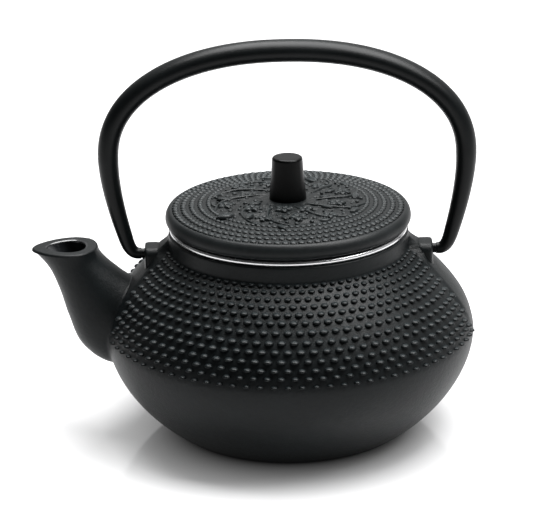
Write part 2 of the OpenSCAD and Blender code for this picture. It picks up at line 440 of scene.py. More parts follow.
def spout_stations():
    """All spout stations, with steps between the rows of the table."""
    last = len(SPOUT) - 1
    rows = []
    for i in range(last):
        four = (SPOUT[max(i - 1, 0)], SPOUT[i], SPOUT[i + 1], SPOUT[min(i + 2, last)])
        for k in range(SPOUT_STEPS):
            rows.append([spline(*column, k / SPOUT_STEPS) for column in zip(*four)])
    rows.append(list(SPOUT[last]))
    return rows


def spout_ring(station, sides, inset, drop=0.0):
    """Ring of points of a station, in metres. Inset is in millimetres, drop is down its axis."""
    low_x, low_z, top_x, top_z, half_w, _wall, lip = station
    low = Vector((low_x, 0, low_z))
    high = Vector((top_x, 0, top_z))
    along = (high - low).normalized()
    axis = Vector((-along.z, 0, along.x))
    middle = (low + high) / 2 - axis * drop
    half = (high - low).length / 2 - inset
    ring = []
    for k in range(sides):
        angle = 2 * math.pi * k / sides
        across = (half_w - inset) * math.sin(angle) * (1 + lip * math.cos(angle))
        point = middle + along * (half * math.cos(angle)) + Vector((0, -across, 0))
        ring.append(point * MM)
    return ring


def walk(line, start, fraction, reach):
    """Index, share and point a distance further along a line of points."""
    here = line[start].lerp(line[start + 1], fraction)
    for index in range(start, len(line) - 1):
        step = (line[index + 1] - here).length
        if step >= reach:
            return index, here.lerp(line[index + 1], reach / step)
        reach -= step
        here = line[index + 1]
    raise RuntimeError("the fillet is longer than the piece")


def leave_body(line):
    """Last place where a line of points comes out of the body: index and share."""
    index = max(i for i in range(len(line) - 1) if in_body(line[i]))
    low, high = 0.0, 1.0
    for _ in range(40):
        middle = (low + high) / 2
        if in_body(line[index].lerp(line[index + 1], middle)):
            low = middle
        else:
            high = middle
    return index, high


def rooted(lines, fillet, curve_steps, keep):
    """Blends lines of points into the body's skin with a small fillet, as rings from the root out."""
    exits = [leave_body(line) for line in lines]
    places = [line[i].lerp(line[i + 1], share) for line, (i, share) in zip(lines, exits)]
    centre = sum(places, Vector()) / len(places)
    grown = []
    feet = []
    for line, (index, share), place in zip(lines, exits, places):
        out_index, out_point = walk(line, index, share, fillet)
        normal = body_normal(math.atan2(place.y, place.x), place.z)
        away = place - centre
        away = (away - normal * away.dot(normal)).normalized()
        foot = on_body(place + away * fillet)
        foot_normal = body_normal(math.atan2(foot.y, foot.x), foot.z)
        feet.append(foot)
        new_line = [foot - foot_normal * 1.4 * MM - away * 0.6 * MM]
        for k in range(curve_steps):
            bend = quadratic(foot - foot_normal * 0.03 * MM, place, out_point, k / curve_steps)
            new_line.append(bend)
        rest = [out_point] + list(line[out_index + 1 :])
        lengths = [0.0]
        for a, b in zip(rest, rest[1:]):
            lengths.append(lengths[-1] + (b - a).length)
        for k in range(keep):
            wanted = lengths[-1] * k / (keep - 1)
            at = max(i for i in range(len(rest)) if lengths[i] <= wanted + 1e-12)
            at = min(at, len(rest) - 2)
            gap = lengths[at + 1] - lengths[at]
            new_line.append(rest[at].lerp(rest[at + 1], (wanted - lengths[at]) / gap))
        grown.append(new_line)
    rings = [[line[level] for line in grown] for level in range(len(grown[0]))]
    return rings, feet


def spout_outside():
    """Rings of the spout's outer skin, with a rounded rim, and its foot on the body."""
    stations = spout_stations()
    rings = [spout_ring(s, SPOUT_SIDES, 0) for s in stations[:-1]]
    last = stations[-1]
    edge = 0.8
    rings.append(spout_ring(last, SPOUT_SIDES, 0, edge))
    lines = [[ring[k] for ring in rings] for k in range(SPOUT_SIDES)]
    grown, feet = rooted(lines, SPOUT_FILLET, 7, 60)
    for turn in (22.5, 45, 67.5, 90):
        angle = math.radians(turn)
        inset = edge * (1 - math.cos(angle))
        grown.append(spout_ring(last, SPOUT_SIDES, inset, edge * (1 - math.sin(angle))))
    return grown, feet


def spout_channel():
    """Inside of the spout, opening with a small round to its mouth."""
    stations = spout_stations()
    rings = [spout_ring(s, SPOUT_SIDES, s[5]) for s in stations[:-1]]
    last = stations[-1]
    edge = 0.7
    for turn in (0, 30, 60, 80):
        angle = math.radians(turn)
        inset = last[5] - edge * (1 - math.cos(angle))
        rings.append(spout_ring(last, SPOUT_SIDES, inset, edge * (1 - math.sin(angle))))
    rings.append(spout_ring(last, SPOUT_SIDES, last[5] - edge * 1.3, -0.6))
    for level, ring in enumerate(rings):
        near = max(level - len(rings) + 16, 0) / 15
        for k, point in enumerate(ring):
            lip = (1 + math.cos(2 * math.pi * k / SPOUT_SIDES + math.pi)) / 2
            ring[k] = point + Vector((1, 0, 0)) * (LIP_WALL * near * lip * lip)
    return loft("channel", rings)


def lug_section(height, side):
    """Level section of a lug, narrowing to a round at its top."""
    sides = 48
    half_w = LUG_HALF_W
    half_x = (LUG_OUT_X - LUG_IN_X) / 2
    over = height - PEG_Z
    if over > 0:
        drop = math.sqrt(max(1 - (over / LUG_ROUND) ** 2, 0))
        half_w = LUG_HALF_W - LUG_ROUND * (1 - drop)
        near = max(over / LUG_ROUND - 0.82, 0) / 0.18
        half_x *= 1 - 0.16 * near * near
    middle_x = (LUG_OUT_X + LUG_IN_X) / 2
    ring = []
    for k in range(sides):
        angle = 2 * math.pi * k / sides
        c, s = math.cos(angle), math.sin(angle)
        x = middle_x + half_x * math.copysign(abs(c) ** (2 / 5), c)
        y = half_w * math.copysign(abs(s) ** (2 / 5), s)
        ring.append(Vector((side * x, y, height)))
    return ring


def lug(side):
    """Tab on the shoulder for one end of the handle, blended into the body."""
    top = PEG_Z + LUG_ROUND
    heights = [LUG_ROOT_Z + (PEG_Z - LUG_ROOT_Z) * i / 16 for i in range(17)]
    heights += [PEG_Z + LUG_ROUND * math.sin(math.radians(a)) for a in range(6, 88, 6)]
    heights.append(top - 0.01 * MM)
    sections = [lug_section(h, side) for h in heights]
    lines = [[ring[k] for ring in sections] for k in range(len(sections[0]))]
    rings, _feet = rooted(lines, LUG_FILLET, 5, 40)
    return loft("lug", rings)


def peg_bore(side):
    """Cutter for the peg hole of a lug."""
    rings = []
    for x in (PEG_END_X - 0.6 * MM, LUG_OUT_X + 3 * MM):
        ring = []
        for k in range(40):
            angle = 2 * math.pi * k / 40
            radius = PEG_R + PEG_GAP
            ring.append(
                Vector((side * x, radius * math.cos(angle), PEG_Z + radius * math.sin(angle)))
            )
        rings.append(ring)
    return loft("bore", rings)


# ---------------------------------------------------------------- node trees


class Value:
    """A number in a node tree. Arithmetic on it adds Math nodes."""

    def __init__(self, sheet, socket):
        self.sheet = sheet
        self.socket = socket

    def math(self, operation, *terms):
        terms = {i: term for i, term in enumerate(terms)}
        return self.sheet.add("ShaderNodeMath", {"operation": operation}, terms)

    def __add__(self, other):
        return self.math("ADD", self, other)

    def __radd__(self, other):
        return self.math("ADD", other, self)

    def __sub__(self, other):
        return self.math("SUBTRACT", self, other)

    def __rsub__(self, other):
        return self.math("SUBTRACT", other, self)

    def __mul__(self, other):
        return self.math("MULTIPLY", self, other)

    def __truediv__(self, other):
        return self.math("DIVIDE", self, other)

    def __pow__(self, other):
        return self.math("POWER", self, other)

    def __mod__(self, other):
        return self.math("FLOORED_MODULO", self, other)

    def cosine(self):
        return self.math("COSINE", self)

    def ramp(self, low, high):
        """0 below low, 1 above high, and a straight rise between them."""
        limits = {"Value": self, "From Min": low, "From Max": high}
        return self.sheet.add("ShaderNodeMapRange", {"clamp": True}, limits)


class Sheet:
    """A node tree under construction."""

    def __init__(self, tree):
        self.tree = tree

    def add(self, kind, settings=None, inputs=None, output=0):
        """Adds a node: its settings first, then the values or links of its sockets."""
        node = self.tree.nodes.new(kind)
        for key, setting in (settings or {}).items():
            setattr(node, key, setting)
        for key, term in (inputs or {}).items():
            if isinstance(term, Value):
                self.tree.links.new(term.socket, node.inputs[key])
            else:
                node.inputs[key].default_value = term
        if not node.outputs:
            return node
        return Value(self, node.outputs[output])

    def vector(self, **parts):
        """Vector from values for X, Y and Z. A part left out is 0."""
        return self.add("ShaderNodeCombineXYZ", None, parts)

    def split(self, vector):
        """X, Y and Z of a vector."""
        return [self.add("ShaderNodeSeparateXYZ", None, {0: vector}, axis) for axis in "XYZ"]

    def bump(self, height, strength, distance, under=None):
        """Facing bent by a height, on top of another bump where one is given."""
        inputs = {"Strength": strength, "Distance": distance, "Height": height}
        if under is not None:
            inputs["Normal"] = under
        return self.add("ShaderNodeBump", None, inputs)

    def row(self, count, step, start=(0, 0, 0)):
        """Points joined in a straight line, a step apart."""
        inputs = {"Count": count, "Start Location": start, "Offset": step}
        return self.add("GeometryNodeMeshLine", {"mode": "OFFSET"}, inputs)

    def noise(self, coordinate, size, detail=2.0, rough=0.5):
        """Noise whose grains are about one size across, in metres."""
        inputs = {"Vector": coordinate, "Scale": 1 / size, "Detail": detail, "Roughness": rough}
        return self.add("ShaderNodeTexNoise", None, inputs)

    def blend(self, factor, first, second):
        """Colour between two colours."""
        settings = {"data_type": "RGBA", "clamp_factor": True}
        return self.add("ShaderNodeMix", settings, {0: factor, 6: first, 7: second}, 2)


def shader(name):
    """New material with an empty tree."""
    material = bpy.data.materials.new(name)
    material.use_nodes = True
    material.node_tree.nodes.clear()
    return material, Sheet(material.node_tree)


def geometry_tree(name, inputs):
    """New geometry node tree with named inputs. Gives the sheet and the inputs' values."""
    tree = bpy.data.node_groups.new(name, "GeometryNodeTree")
    geometry = "NodeSocketGeometry"
    tree.interface.new_socket(name="Geometry", in_out="INPUT", socket_type=geometry)
    for label, kind in inputs.items():
        tree.interface.new_socket(name=label, in_out="INPUT", socket_type=kind)
    tree.interface.new_socket(name="Geometry", in_out="OUTPUT", socket_type=geometry)
    sheet = Sheet(tree)
    source = tree.nodes.new("NodeGroupInput")
    taps = {s.name: Value(sheet, s) for s in source.outputs if s.name}
    return sheet, taps


def finish_tree(sheet, geometry, material):
    """Ends a tree in Realize Instances, smooth shading and Set Material."""
    real = sheet.add("GeometryNodeRealizeInstances", None, {"Geometry": geometry})
    smooth = sheet.add("GeometryNodeSetShadeSmooth", None, {0: real})
    inputs = {"Geometry": smooth, "Material": material}
    painted = sheet.add("GeometryNodeSetMaterial", None, inputs)
    sheet.add("NodeGroupOutput", None, {0: painted})


def grow(piece, tree, values):
    """Runs a geometry tree on a piece with the given inputs and keeps the plain mesh."""
    modifier = piece.modifiers.new("grow", "NODES")
    modifier.node_group = tree
    for item in tree.interface.items_tree:
        if item.item_type == "SOCKET" and item.in_out == "INPUT" and item.name in values:
            modifier[item.identifier] = values[item.name]
    settle(piece)
    if not piece.data.polygons:
        raise RuntimeError(f"{piece.name} grew nothing")
    return piece


def scatter_tree():
    """Tree that sets one small shape upright on every point of a mesh, turned about +Z."""
    found = bpy.data.node_groups.get("Set shapes on points")
    if found:
        return found
    sheet, taps = geometry_tree(
        "Set shapes on points",
        {
            "Shape": "NodeSocketObject",
            "Width": "NodeSocketFloat",
            "Height": "NodeSocketFloat",
            "Unevenness": "NodeSocketFloat",
            "Seed": "NodeSocketInt",
            "Finish": "NodeSocketMaterial",
        },
    )
    turn = sheet.add("GeometryNodeInputNamedAttribute", {"data_type": "FLOAT"}, {"Name": "turn"})
    share = sheet.add("GeometryNodeInputNamedAttribute", {"data_type": "FLOAT"}, {"Name": "share"})
    rotation = sheet.add("FunctionNodeEulerToRotation", None, {0: sheet.vector(Z=turn)})
    low = 1 - taps["Unevenness"]
    high = 1 + taps["Unevenness"]
    random = {2: low, 3: high, "Seed": taps["Seed"]}
    wide = sheet.add("FunctionNodeRandomValue", {"data_type": "FLOAT"}, random, 1)
    tall = sheet.add(
        "FunctionNodeRandomValue",
        {"data_type": "FLOAT"},
        {2: low, 3: high, "Seed": taps["Seed"] + 1},
        1,
    )
    width = taps["Width"] * share * wide
    scale = sheet.vector(X=width, Y=width, Z=taps["Height"] * share * tall)
    shape = sheet.add("GeometryNodeObjectInfo", None, {"Object": taps["Shape"]}, "Geometry")
    placed = sheet.add(
        "GeometryNodeInstanceOnPoints",
        None,
        {"Points": taps["Geometry"], "Instance": shape, "Rotation": rotation, "Scale": scale},
    )
    finish_tree(sheet, placed, taps["Finish"])
    return sheet.tree


def scatter(name, shape, spots, width, height, unevenness, seed, finish):
    """Piece with the shape set upright on every spot: place, turn about +Z, share of full size."""
    piece = blank(name)
    places, turns, shares = zip(*spots)
    piece.data.from_pydata([tuple(place) for place in places], [], [])
    mark(piece, "turn", turns)
    mark(piece, "share", shares)
    values = {
        "Shape": shape,
        "Width": width,
        "Height": height,
        "Unevenness": unevenness,
        "Seed": seed,
        "Finish": finish,
    }
    grow(piece, scatter_tree(), values)
    bpy.data.objects.remove(shape)
    for extra in ("turn", "share"):
        if extra in piece.data.attributes:
            piece.data.attributes.remove(piece.data.attributes[extra])
    return piece


def tube(sheet, path, wire_r):
    """Square-sided wire along every edge chain of a mesh line."""
    curve = sheet.add("GeometryNodeMeshToCurve", None, {0: path})
    return sheet.add(
        "GeometryNodeCurveToMesh",
        None,
        {"Curve": curve, "Profile Curve": wire_profile(sheet, wire_r), "Fill Caps": True},
    )


def wire_profile(sheet, wire_r):
    return sheet.add(
        "GeometryNodeCurvePrimitiveCircle", {"mode": "RADIUS"}, {"Resolution": 4, "Radius": wire_r}
    )


def repeat(sheet, shape, points, even, rotation=None):
    """The shape on every second point of a line, from the first or from the second."""
    index = sheet.add("GeometryNodeInputIndex")
    odd = index % 2
    chosen = 1 - odd if even else odd
    inputs = {"Points": points, "Instance": shape, "Selection": chosen}
    if rotation is not None:
        inputs["Rotation"] = rotation
    return sheet.add("GeometryNodeInstanceOnPoints", None, inputs)


def basket_tree():
    """Tree for the upright sieve: standing wires woven through level rings."""
    sheet, taps = geometry_tree(
        "Woven basket wall",
        {
            "Radius": "NodeSocketFloat",
            "Low": "NodeSocketFloat",
            "Pitch": "NodeSocketFloat",
            "Rings": "NodeSocketInt",
            "Wires": "NodeSocketInt",
            "Wire radius": "NodeSocketFloat",
            "Wave": "NodeSocketFloat",
            "Finish": "NodeSocketMaterial",
        },
    )
    parts = []
    index = sheet.add("GeometryNodeInputIndex")
    beat = (index * (math.pi / 2)).cosine()
    radius, wave = taps["Radius"], taps["Wave"]
    turn = sheet.vector(Z=index * (2 * math.pi) / taps["Wires"])
    seats = sheet.row(taps["Wires"], (0, 0, 0))
    for even in (True, False):
        sign = 1 if even else -1
        start = sheet.vector(X=radius, Z=taps["Low"])
        line = sheet.row(taps["Rings"] * 2 + 1, sheet.vector(Z=taps["Pitch"] * 0.5), start)
        shift = sheet.vector(X=beat * wave * sign)
        line = sheet.add("GeometryNodeSetPosition", None, {"Geometry": line, "Offset": shift})
        wire = tube(sheet, line, taps["Wire radius"])
        parts.append(repeat(sheet, wire, seats, even, turn))
    low = sheet.vector(Z=taps["Low"])
    levels = sheet.row(taps["Rings"] + 1, sheet.vector(Z=taps["Pitch"]), low)
    position = sheet.add("GeometryNodeInputPosition")
    for even in (True, False):
        sign = -1 if even else 1
        ring = sheet.add(
            "GeometryNodeCurvePrimitiveCircle",
            {"mode": "RADIUS"},
            {"Resolution": taps["Wires"] * 2, "Radius": radius},
        )
        swell = 1 + beat * wave * sign / radius
        place = sheet.add(
            "ShaderNodeVectorMath", {"operation": "SCALE"}, {0: position, "Scale": swell}
        )
        ring = sheet.add("GeometryNodeSetPosition", None, {"Geometry": ring, "Position": place})
        wire = sheet.add(
            "GeometryNodeCurveToMesh",
            None,
            {"Curve": ring, "Profile Curve": wire_profile(sheet, taps["Wire radius"])},
        )
        parts.append(repeat(sheet, wire, levels, even))
    finish_tree(sheet, gather(sheet, parts), taps["Finish"])
    return sheet.tree


def gather(sheet, parts):
    """Joins several geometries."""
    node = sheet.tree.nodes.new("GeometryNodeJoinGeometry")
    for part in reversed(parts):
        sheet.tree.links.new(part.socket, node.inputs[0])
    return Value(sheet, node.outputs[0])


def sieve_tree():
    """Tree for the flat sieve: two crossed sets of woven wires inside a circle."""
    sheet, taps = geometry_tree(
        "Woven sieve floor",
        {
            "Radius": "NodeSocketFloat",
            "Level": "NodeSocketFloat",
            "Pitch": "NodeSocketFloat",
            "Wires": "NodeSocketInt",
            "Wire radius": "NodeSocketFloat",
            "Wave": "NodeSocketFloat",
            "Finish": "NodeSocketMaterial",
        },
    )
    pitch, wires = taps["Pitch"], taps["Wires"]
    position = sheet.add("GeometryNodeInputPosition")
    x, y, _z = sheet.split(position)
    reach = pitch * wires * -1
    line = sheet.row(wires * 4 + 1, sheet.vector(X=pitch * 0.5), sheet.vector(X=reach))
    seats = sheet.row(wires * 2 + 1, sheet.vector(Y=pitch), sheet.vector(Y=reach))
    lines = sheet.add("GeometryNodeInstanceOnPoints", None, {"Points": seats, "Instance": line})
    lines = sheet.add("GeometryNodeRealizeInstances", None, {"Geometry": lines})
    length = sheet.add("ShaderNodeVectorMath", {"operation": "LENGTH"}, {0: position}, "Value")
    outside = sheet.add(
        "FunctionNodeCompare",
        {"data_type": "FLOAT", "operation": "GREATER_THAN"},
        {0: length, 1: taps["Radius"]},
    )
    lines = sheet.add(
        "GeometryNodeDeleteGeometry", {"domain": "POINT"}, {"Geometry": lines, "Selection": outside}
    )
    beat = (x * math.pi / pitch).cosine() * (y * math.pi / pitch).cosine() * taps["Wave"]
    parts = []
    for sign, spin in ((1, 0.0), (-1, math.pi / 2)):
        shift = sheet.vector(Z=beat * sign)
        bent = sheet.add("GeometryNodeSetPosition", None, {"Geometry": lines, "Offset": shift})
        wire = tube(sheet, bent, taps["Wire radius"])
        lift = sheet.vector(Z=taps["Level"])
        inputs = {"Geometry": wire, "Translation": lift, "Rotation": (0, 0, spin)}
        parts.append(sheet.add("GeometryNodeTransform", None, inputs))
    finish_tree(sheet, gather(sheet, parts), taps["Finish"])
    return sheet.tree


# ---------------------------------------------------------------- finishes


def surface(sheet, settings, inputs):
    """Ends a material in one Principled shader."""
    skin = sheet.add("ShaderNodeBsdfPrincipled", None, {**settings, **inputs})
    sheet.add("ShaderNodeOutputMaterial", None, {"Surface": skin})


def tint(colour, share):
    """A colour made darker or lighter."""
    return (colour[0] * share, colour[1] * share, colour[2] * share, 1)


def iron(name, colour, roughness, grain, tip_highlight=0.0, gloss=0.15):
    """Satin painted cast iron: sand grain, cloudy tone and, where a tip highlight is asked for, paler tips
    that are a painted highlight.
    """
    found = bpy.data.materials.get(name)
    if found:
        return found
    material, sheet = shader(name)
    place = sheet.add("ShaderNodeTexCoord", None, None, "Object")
    sand = sheet.noise(place, 0.42 * MM, 3, 0.6)
    pits = sheet.noise(place, 1.3 * MM, 2, 0.55)
    cloud = sheet.noise(place, 14 * MM, 3, 0.5)
    swell = sheet.noise(place, 5.5 * MM, 1, 0.4)
    tone = (cloud * 0.6 + pits * 0.4).ramp(0.36, 0.66)
    base = sheet.blend(tone, tint(colour, 0.72), tint(colour, 1.3))
    height = sand * 0.5 + pits * 0.5
    # Painted highlight: colour up to seven times paler on the high tips, where the overhead light glints.
    if tip_highlight > 0:
        tip = sheet.add(
            "ShaderNodeAttribute", {"attribute_type": "GEOMETRY", "attribute_name": "tip"}, None, 2
        )
        painted_tip_highlight = (tip * (0.6 + sand * 0.8)).ramp(0.35, 1.05) * tip_highlight
        base = sheet.blend(painted_tip_highlight, base, tint(colour, 7.0))
    matt = roughness - 0.07 + cloud * 0.08 + sand * 0.08
    bump = sheet.bump(swell, 0.3, 0.18 * MM, sheet.bump(height, 0.55, grain))
    inputs = {"Base Color": base, "Roughness": matt, "Normal": bump}
    surface(sheet, {"Specular IOR Level": gloss}, inputs)
    return material


def enamel(name):
    """Glossy black glaze that lines the pot."""
    found = bpy.data.materials.get(name)
    if found:
        return found
    material, sheet = shader(name)
    place = sheet.add("ShaderNodeTexCoord", None, None, "Object")
    ripple = sheet.noise(place, 2.6 * MM, 2, 0.5)
    cloud = sheet.noise(place, 11 * MM, 2, 0.5)
    base = sheet.blend(cloud, (0.006, 0.007, 0.008, 1), (0.014, 0.015, 0.017, 1))
    bump = sheet.bump(ripple, 0.25, 0.05 * MM)
    surface(
        sheet,
        {"Coat Roughness": 0.06},
        {
            "Base Color": base,
            "Roughness": 0.2 + cloud * 0.12,
            "Coat Weight": 0.4 + cloud * 0.2,
            "Normal": bump,
        },
    )
    return material


def steel(name, colour, roughness, line):
    """Stainless steel with fine turning lines that run round the axis."""
    found = bpy.data.materials.get(name)
    if found:
        return found
    material, sheet = shader(name)
    place = sheet.add("ShaderNodeTexCoord", None, None, "Object")
    x, y, z = sheet.split(place)
    turned = sheet.vector(X=(x * x + y * y) ** 0.5, Y=z, Z=x * 0.02)
    lines = sheet.noise(turned, line, 3, 0.65)
    smear = sheet.noise(place, 6 * MM, 3, 0.55)
    base = sheet.blend(lines * 0.6 + smear * 0.4, tint(colour, 0.82), tint(colour, 1.08))
    bump = sheet.bump(lines, 0.2, 0.012 * MM)
    surface(
        sheet,
        {},
        {
            "Base Color": base,
            "Metallic": 1.0 - smear * 0.04,
            "Roughness": roughness - 0.05 + smear * 0.08 + lines * 0.05,
            "Normal": bump,
        },
    )
    return material


def pale_floor(name, colour, roughness):
    """Smooth pale board with a faint cloud in its tone. Its glow is painted fill light, and the glow fades
    to black under the pot and round its foot, a painted contact shadow.
    """
    material, sheet = shader(name)
    place = sheet.add("ShaderNodeTexCoord", None, None, "Object")
    cloud = sheet.noise(place, 60 * MM, 3, 0.5)
    grain = sheet.noise(place, 0.9 * MM, 2, 0.5)
    base = sheet.blend(cloud, tint(colour, 0.985), tint(colour, 1.01))
    bump = sheet.bump(grain, 0.06, 0.02 * MM)
    away = sheet.add("ShaderNodeVectorMath", {"operation": "LENGTH"}, {0: place}, "Value")
    # Painted contact shadow: no glow under the pot and round its foot, rising to the painted fill glow
    # further out.
    near = sheet.blend(away.ramp(0.034, 0.06), (0, 0, 0, 1), tint((1, 1, 1), FLOOR_GLOW))
    glow = sheet.blend(away.ramp(0.4, 1.5), near, tint((1, 1, 1), FAR_GLOW))
    surface(
        sheet,
        {"Emission Strength": 1, "Specular IOR Level": 0.8},
        {
            "Base Color": base,
            "Roughness": roughness + cloud * 0.04,
            "Normal": bump,
            "Emission Color": glow,
        },
    )
    return material


# ---------------------------------------------------------------- settings


def length(label, text, default, low, high):
    """A size that a user may change, shown in the scene's units."""
    return bpy.props.FloatProperty(
        name=label,
        description=text,
        default=default,
        min=low,
        max=high,
        unit="LENGTH",
        subtype="DISTANCE",
        precision=5,
    )


def ratio(label, text, default):
    return bpy.props.FloatProperty(
        name=label, description=text, default=default, min=0, max=1, subtype="FACTOR"
    )


def paint(label, text, default):
    return bpy.props.FloatVectorProperty(
        name=label, description=text, default=default, size=3, min=0, max=1, subtype="COLOR"
    )


class TEAPOT_PG_pot(bpy.types.PropertyGroup):
    wall: length("Wall", "Thickness of the cast wall", 3.2 * MM, 2.6 * MM, 3.6 * MM)
    floor: length("Floor", "Thickness of the pot's floor", 3.8 * MM, 3 * MM, 5 * MM)
    studs: bpy.props.IntProperty(
        name="Studs in a row", description="Hobnails round the body", default=86, min=40, max=110
    )
    stud_width: length("Stud radius", "Radius of the largest hobnail", 1.42 * MM, 0.8 * MM, 1.6 * MM)
    stud_height: length("Stud height", "Height of a hobnail's upright dome", 0.64 * MM, 0.4 * MM, 1.2 * MM)
    unevenness: ratio("Unevenness", "How far hobnails differ from each other", 0.06)


class TEAPOT_PG_lid(bpy.types.PropertyGroup):
    beads: bpy.props.IntProperty(
        name="Beads in a ring", description="Beads round the lid", default=90, min=40, max=110
    )
    bead_width: length("Bead radius", "Radius of the outer beads", 1.16 * MM, 0.5 * MM, 1.3 * MM)
    bead_height: length("Bead height", "Height of a bead", 0.52 * MM, 0.2 * MM, 0.8 * MM)
    relief: length("Relief", "Height of the flowers and leaves", 0.95 * MM, 0.3 * MM, 1.2 * MM)


class TEAPOT_PG_handle(bpy.types.PropertyGroup):
    half_thickness: length("Half thickness", "Seen from the side", 3.2 * MM, 2.8 * MM, 3.6 * MM)
    half_depth: length("Half depth", "Front to back", 4.1 * MM, 3.4 * MM, 4.6 * MM)


class TEAPOT_PG_infuser(bpy.types.PropertyGroup):
    pitch: length("Mesh pitch", "Distance between wires", 1.4 * MM, 1 * MM, 2 * MM)
    wire: length("Wire radius", "Radius of a wire", 0.15 * MM, 0.1 * MM, 0.2 * MM)


class TEAPOT_PG_finish(bpy.types.PropertyGroup):
    iron: paint("Iron", "Colour of the cast iron", (0.0034, 0.0047, 0.0051))
    roughness: ratio("Iron roughness", "Roughness of the body's paint", 0.43)
    smooth: ratio("Handle roughness", "Roughness of the handle's paint", 0.36)
    steel: paint("Steel", "Colour of the stainless steel", (0.7, 0.7, 0.71))


class TEAPOT_PG_stage(bpy.types.PropertyGroup):
    floor: paint("Floor", "Colour of the floor", (0.5, 0.5, 0.504))
    gloss: ratio("Floor roughness", "Roughness of the floor", 0.07)
    lamp: bpy.props.FloatProperty(
        name="Overhead light", description="Power of the soft box", default=20, min=0, subtype="POWER"
    )
    sky: bpy.props.FloatProperty(
        name="Surroundings", description="Brightness of the white room", default=0.9, min=0
    )


# ---------------------------------------------------------------- operators


def body_iron():
    settings = bpy.context.scene.teapot_finish
    return iron("Body iron", settings.iron, settings.roughness, 0.26 * MM)


def smooth_iron():
    settings = bpy.context.scene.teapot_finish
    colour = [c * 0.5 for c in settings.iron]
    return iron("Smooth iron", colour, settings.smooth, 0.05 * MM)


def knob_iron():
    """The knob is blacker and smoother than the rest."""
    settings = bpy.context.scene.teapot_finish
    colour = [c * 0.12 for c in settings.iron]
    return iron("Knob iron", colour, 0.3, 0.03 * MM, gloss=0.13)


def lid_colour_with_painted_light():
    """The body's iron made paler for the lid, as painted light on its face turned up to the lamp, and a
    little less blue.
    """
    red, green, blue = bpy.context.scene.teapot_finish.iron
    return (red * 2.0, green * 1.75, blue * 1.68)


def lid_iron():
    settings = bpy.context.scene.teapot_finish
    return iron("Lid iron", lid_colour_with_painted_light(), settings.roughness, 0.09 * MM)


def pot_outline():
    """Outline of the solid pot before it is hollowed."""
    edge = 0.9 * MM
    outline = [(0, 0), (BASE_R - 2 * edge, 0)]
    skin = body_arc(0, 1.6 * edge, SHOULDER_Z, 56)
    corner = (BASE_R, 0)
    for k in range(1, 7):
        t = k / 7
        a, c = outline[1], skin[0]
        bend = [
            a[i] * (1 - t) ** 2 + corner[i] * 2 * t * (1 - t) + c[i] * t * t for i in (0, 1)
        ]
        outline.append(tuple(bend))
    outline += skin
    steps = 8
    for k in range(1, steps + 1):
        z = SHOULDER_Z + NECK_FILLET * k / steps
        outline.append((body_radius(z), z))
    for k in range(1, 5):
        z = SHOULDER_Z + NECK_FILLET
        outline.append((COLLAR_R, z + (COLLAR_Z - 1.6 * MM - z) * k / 4))
    lip = 0.6 * MM
    outline += arc(COLLAR_R - lip, COLLAR_Z - lip, lip, 0, 90, 6)
    outline.append((0, COLLAR_Z))
    return outline


def cavity_outline(wall, floor):
    """Outline of the space inside, with a rounded mouth."""
    half = TOP_HALF - wall
    rise = half * (1 - (MOUTH_R / (BODY_R - wall)) ** TOP_SWELL) ** (1 / TOP_SWELL)
    outline = [(0, floor)] + body_arc(wall, floor, BELLY_Z + rise, 40)
    lip = 0.5 * MM
    outline.append((MOUTH_R, COLLAR_Z - lip))
    outline += [
        (MOUTH_R + lip * (1 - math.cos(a)), COLLAR_Z - lip + lip * math.sin(a))
        for a in (math.radians(30), math.radians(60), math.radians(85))
    ]
    outline += [(MOUTH_R + 1.2 * lip, COLLAR_Z + 1 * MM), (0, COLLAR_Z + 1 * MM)]
    return outline


def inside_faces(piece, *hollows):
    """Gives the second finish to every face that lies on one of the hollow shapes."""
    trees = []
    for hollow in hollows:
        work = bmesh.new()
        work.from_mesh(hollow.data)
        trees.append(BVHTree.FromBMesh(work))
        work.free()
    for face in piece.data.polygons:
        for tree in trees:
            near = tree.find_nearest(face.center, 0.02 * MM)
            if near[0] is not None and face.center.z < COLLAR_Z - 0.2 * MM:
                face.material_index = 1


def raise_tongues(pot):
    """Lifts the smooth tongues below the lugs and their webs up to the collar."""
    for vertex in pot.data.vertices:
        x, y, z = vertex.co
        radius = math.hypot(x, y)
        if not TONGUE_LOW_Z < z < TONGUE_TOP_Z or radius < 30 * MM:
            continue
        grown = 1 + tongue_lift(math.atan2(y, x), z) / radius
        vertex.co.x = x * grown
        vertex.co.y = y * grown


class TEAPOT_OT_pot(bpy.types.Operator):
    """Casts the pot with its collar, spout and lugs"""

    bl_idname = "teapot.pot"
    bl_label = "Pot"

    def execute(self, context):
        settings = context.scene.teapot_pot
        pot = revolve("pot_casting", pot_outline(), 360)
        raise_tongues(pot)
        combine(pot, loft("spout", spout_outside()[0]), "UNION")
        for side in (-1, 1):
            combine(pot, lug(side), "UNION")
        hollow = revolve("hollow", cavity_outline(settings.wall, settings.floor), 160)
        channel = spout_channel()
        kept = [o.copy() for o in (hollow, channel)]
        for copy in kept:
            copy.data = copy.data.copy()
        combine(pot, hollow, "DIFFERENCE")
        combine(pot, channel, "DIFFERENCE")
        for side in (-1, 1):
            combine(pot, peg_bore(side), "DIFFERENCE")
        dress(pot, "body_iron", body_iron(), enamel("Glaze"))
        inside_faces(pot, *kept)
        for copy in kept:
            bpy.data.objects.remove(copy)
        shade(pot, 38)
        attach(pot, "pot")
        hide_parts("pot")
        return {"FINISHED"}


def stud_shape(name, rings, sides):
    """Small closed dome, one unit wide and high, with a tip attribute that is 1 on top."""
    outline = [(0, -0.4), (1.0, -0.4)] + [(r, h) for r, h in rings] + [(0, rings[-1][1] + 0.04)]
    dome = revolve(name, outline, sides)
    mark_tips(dome)
    return dome


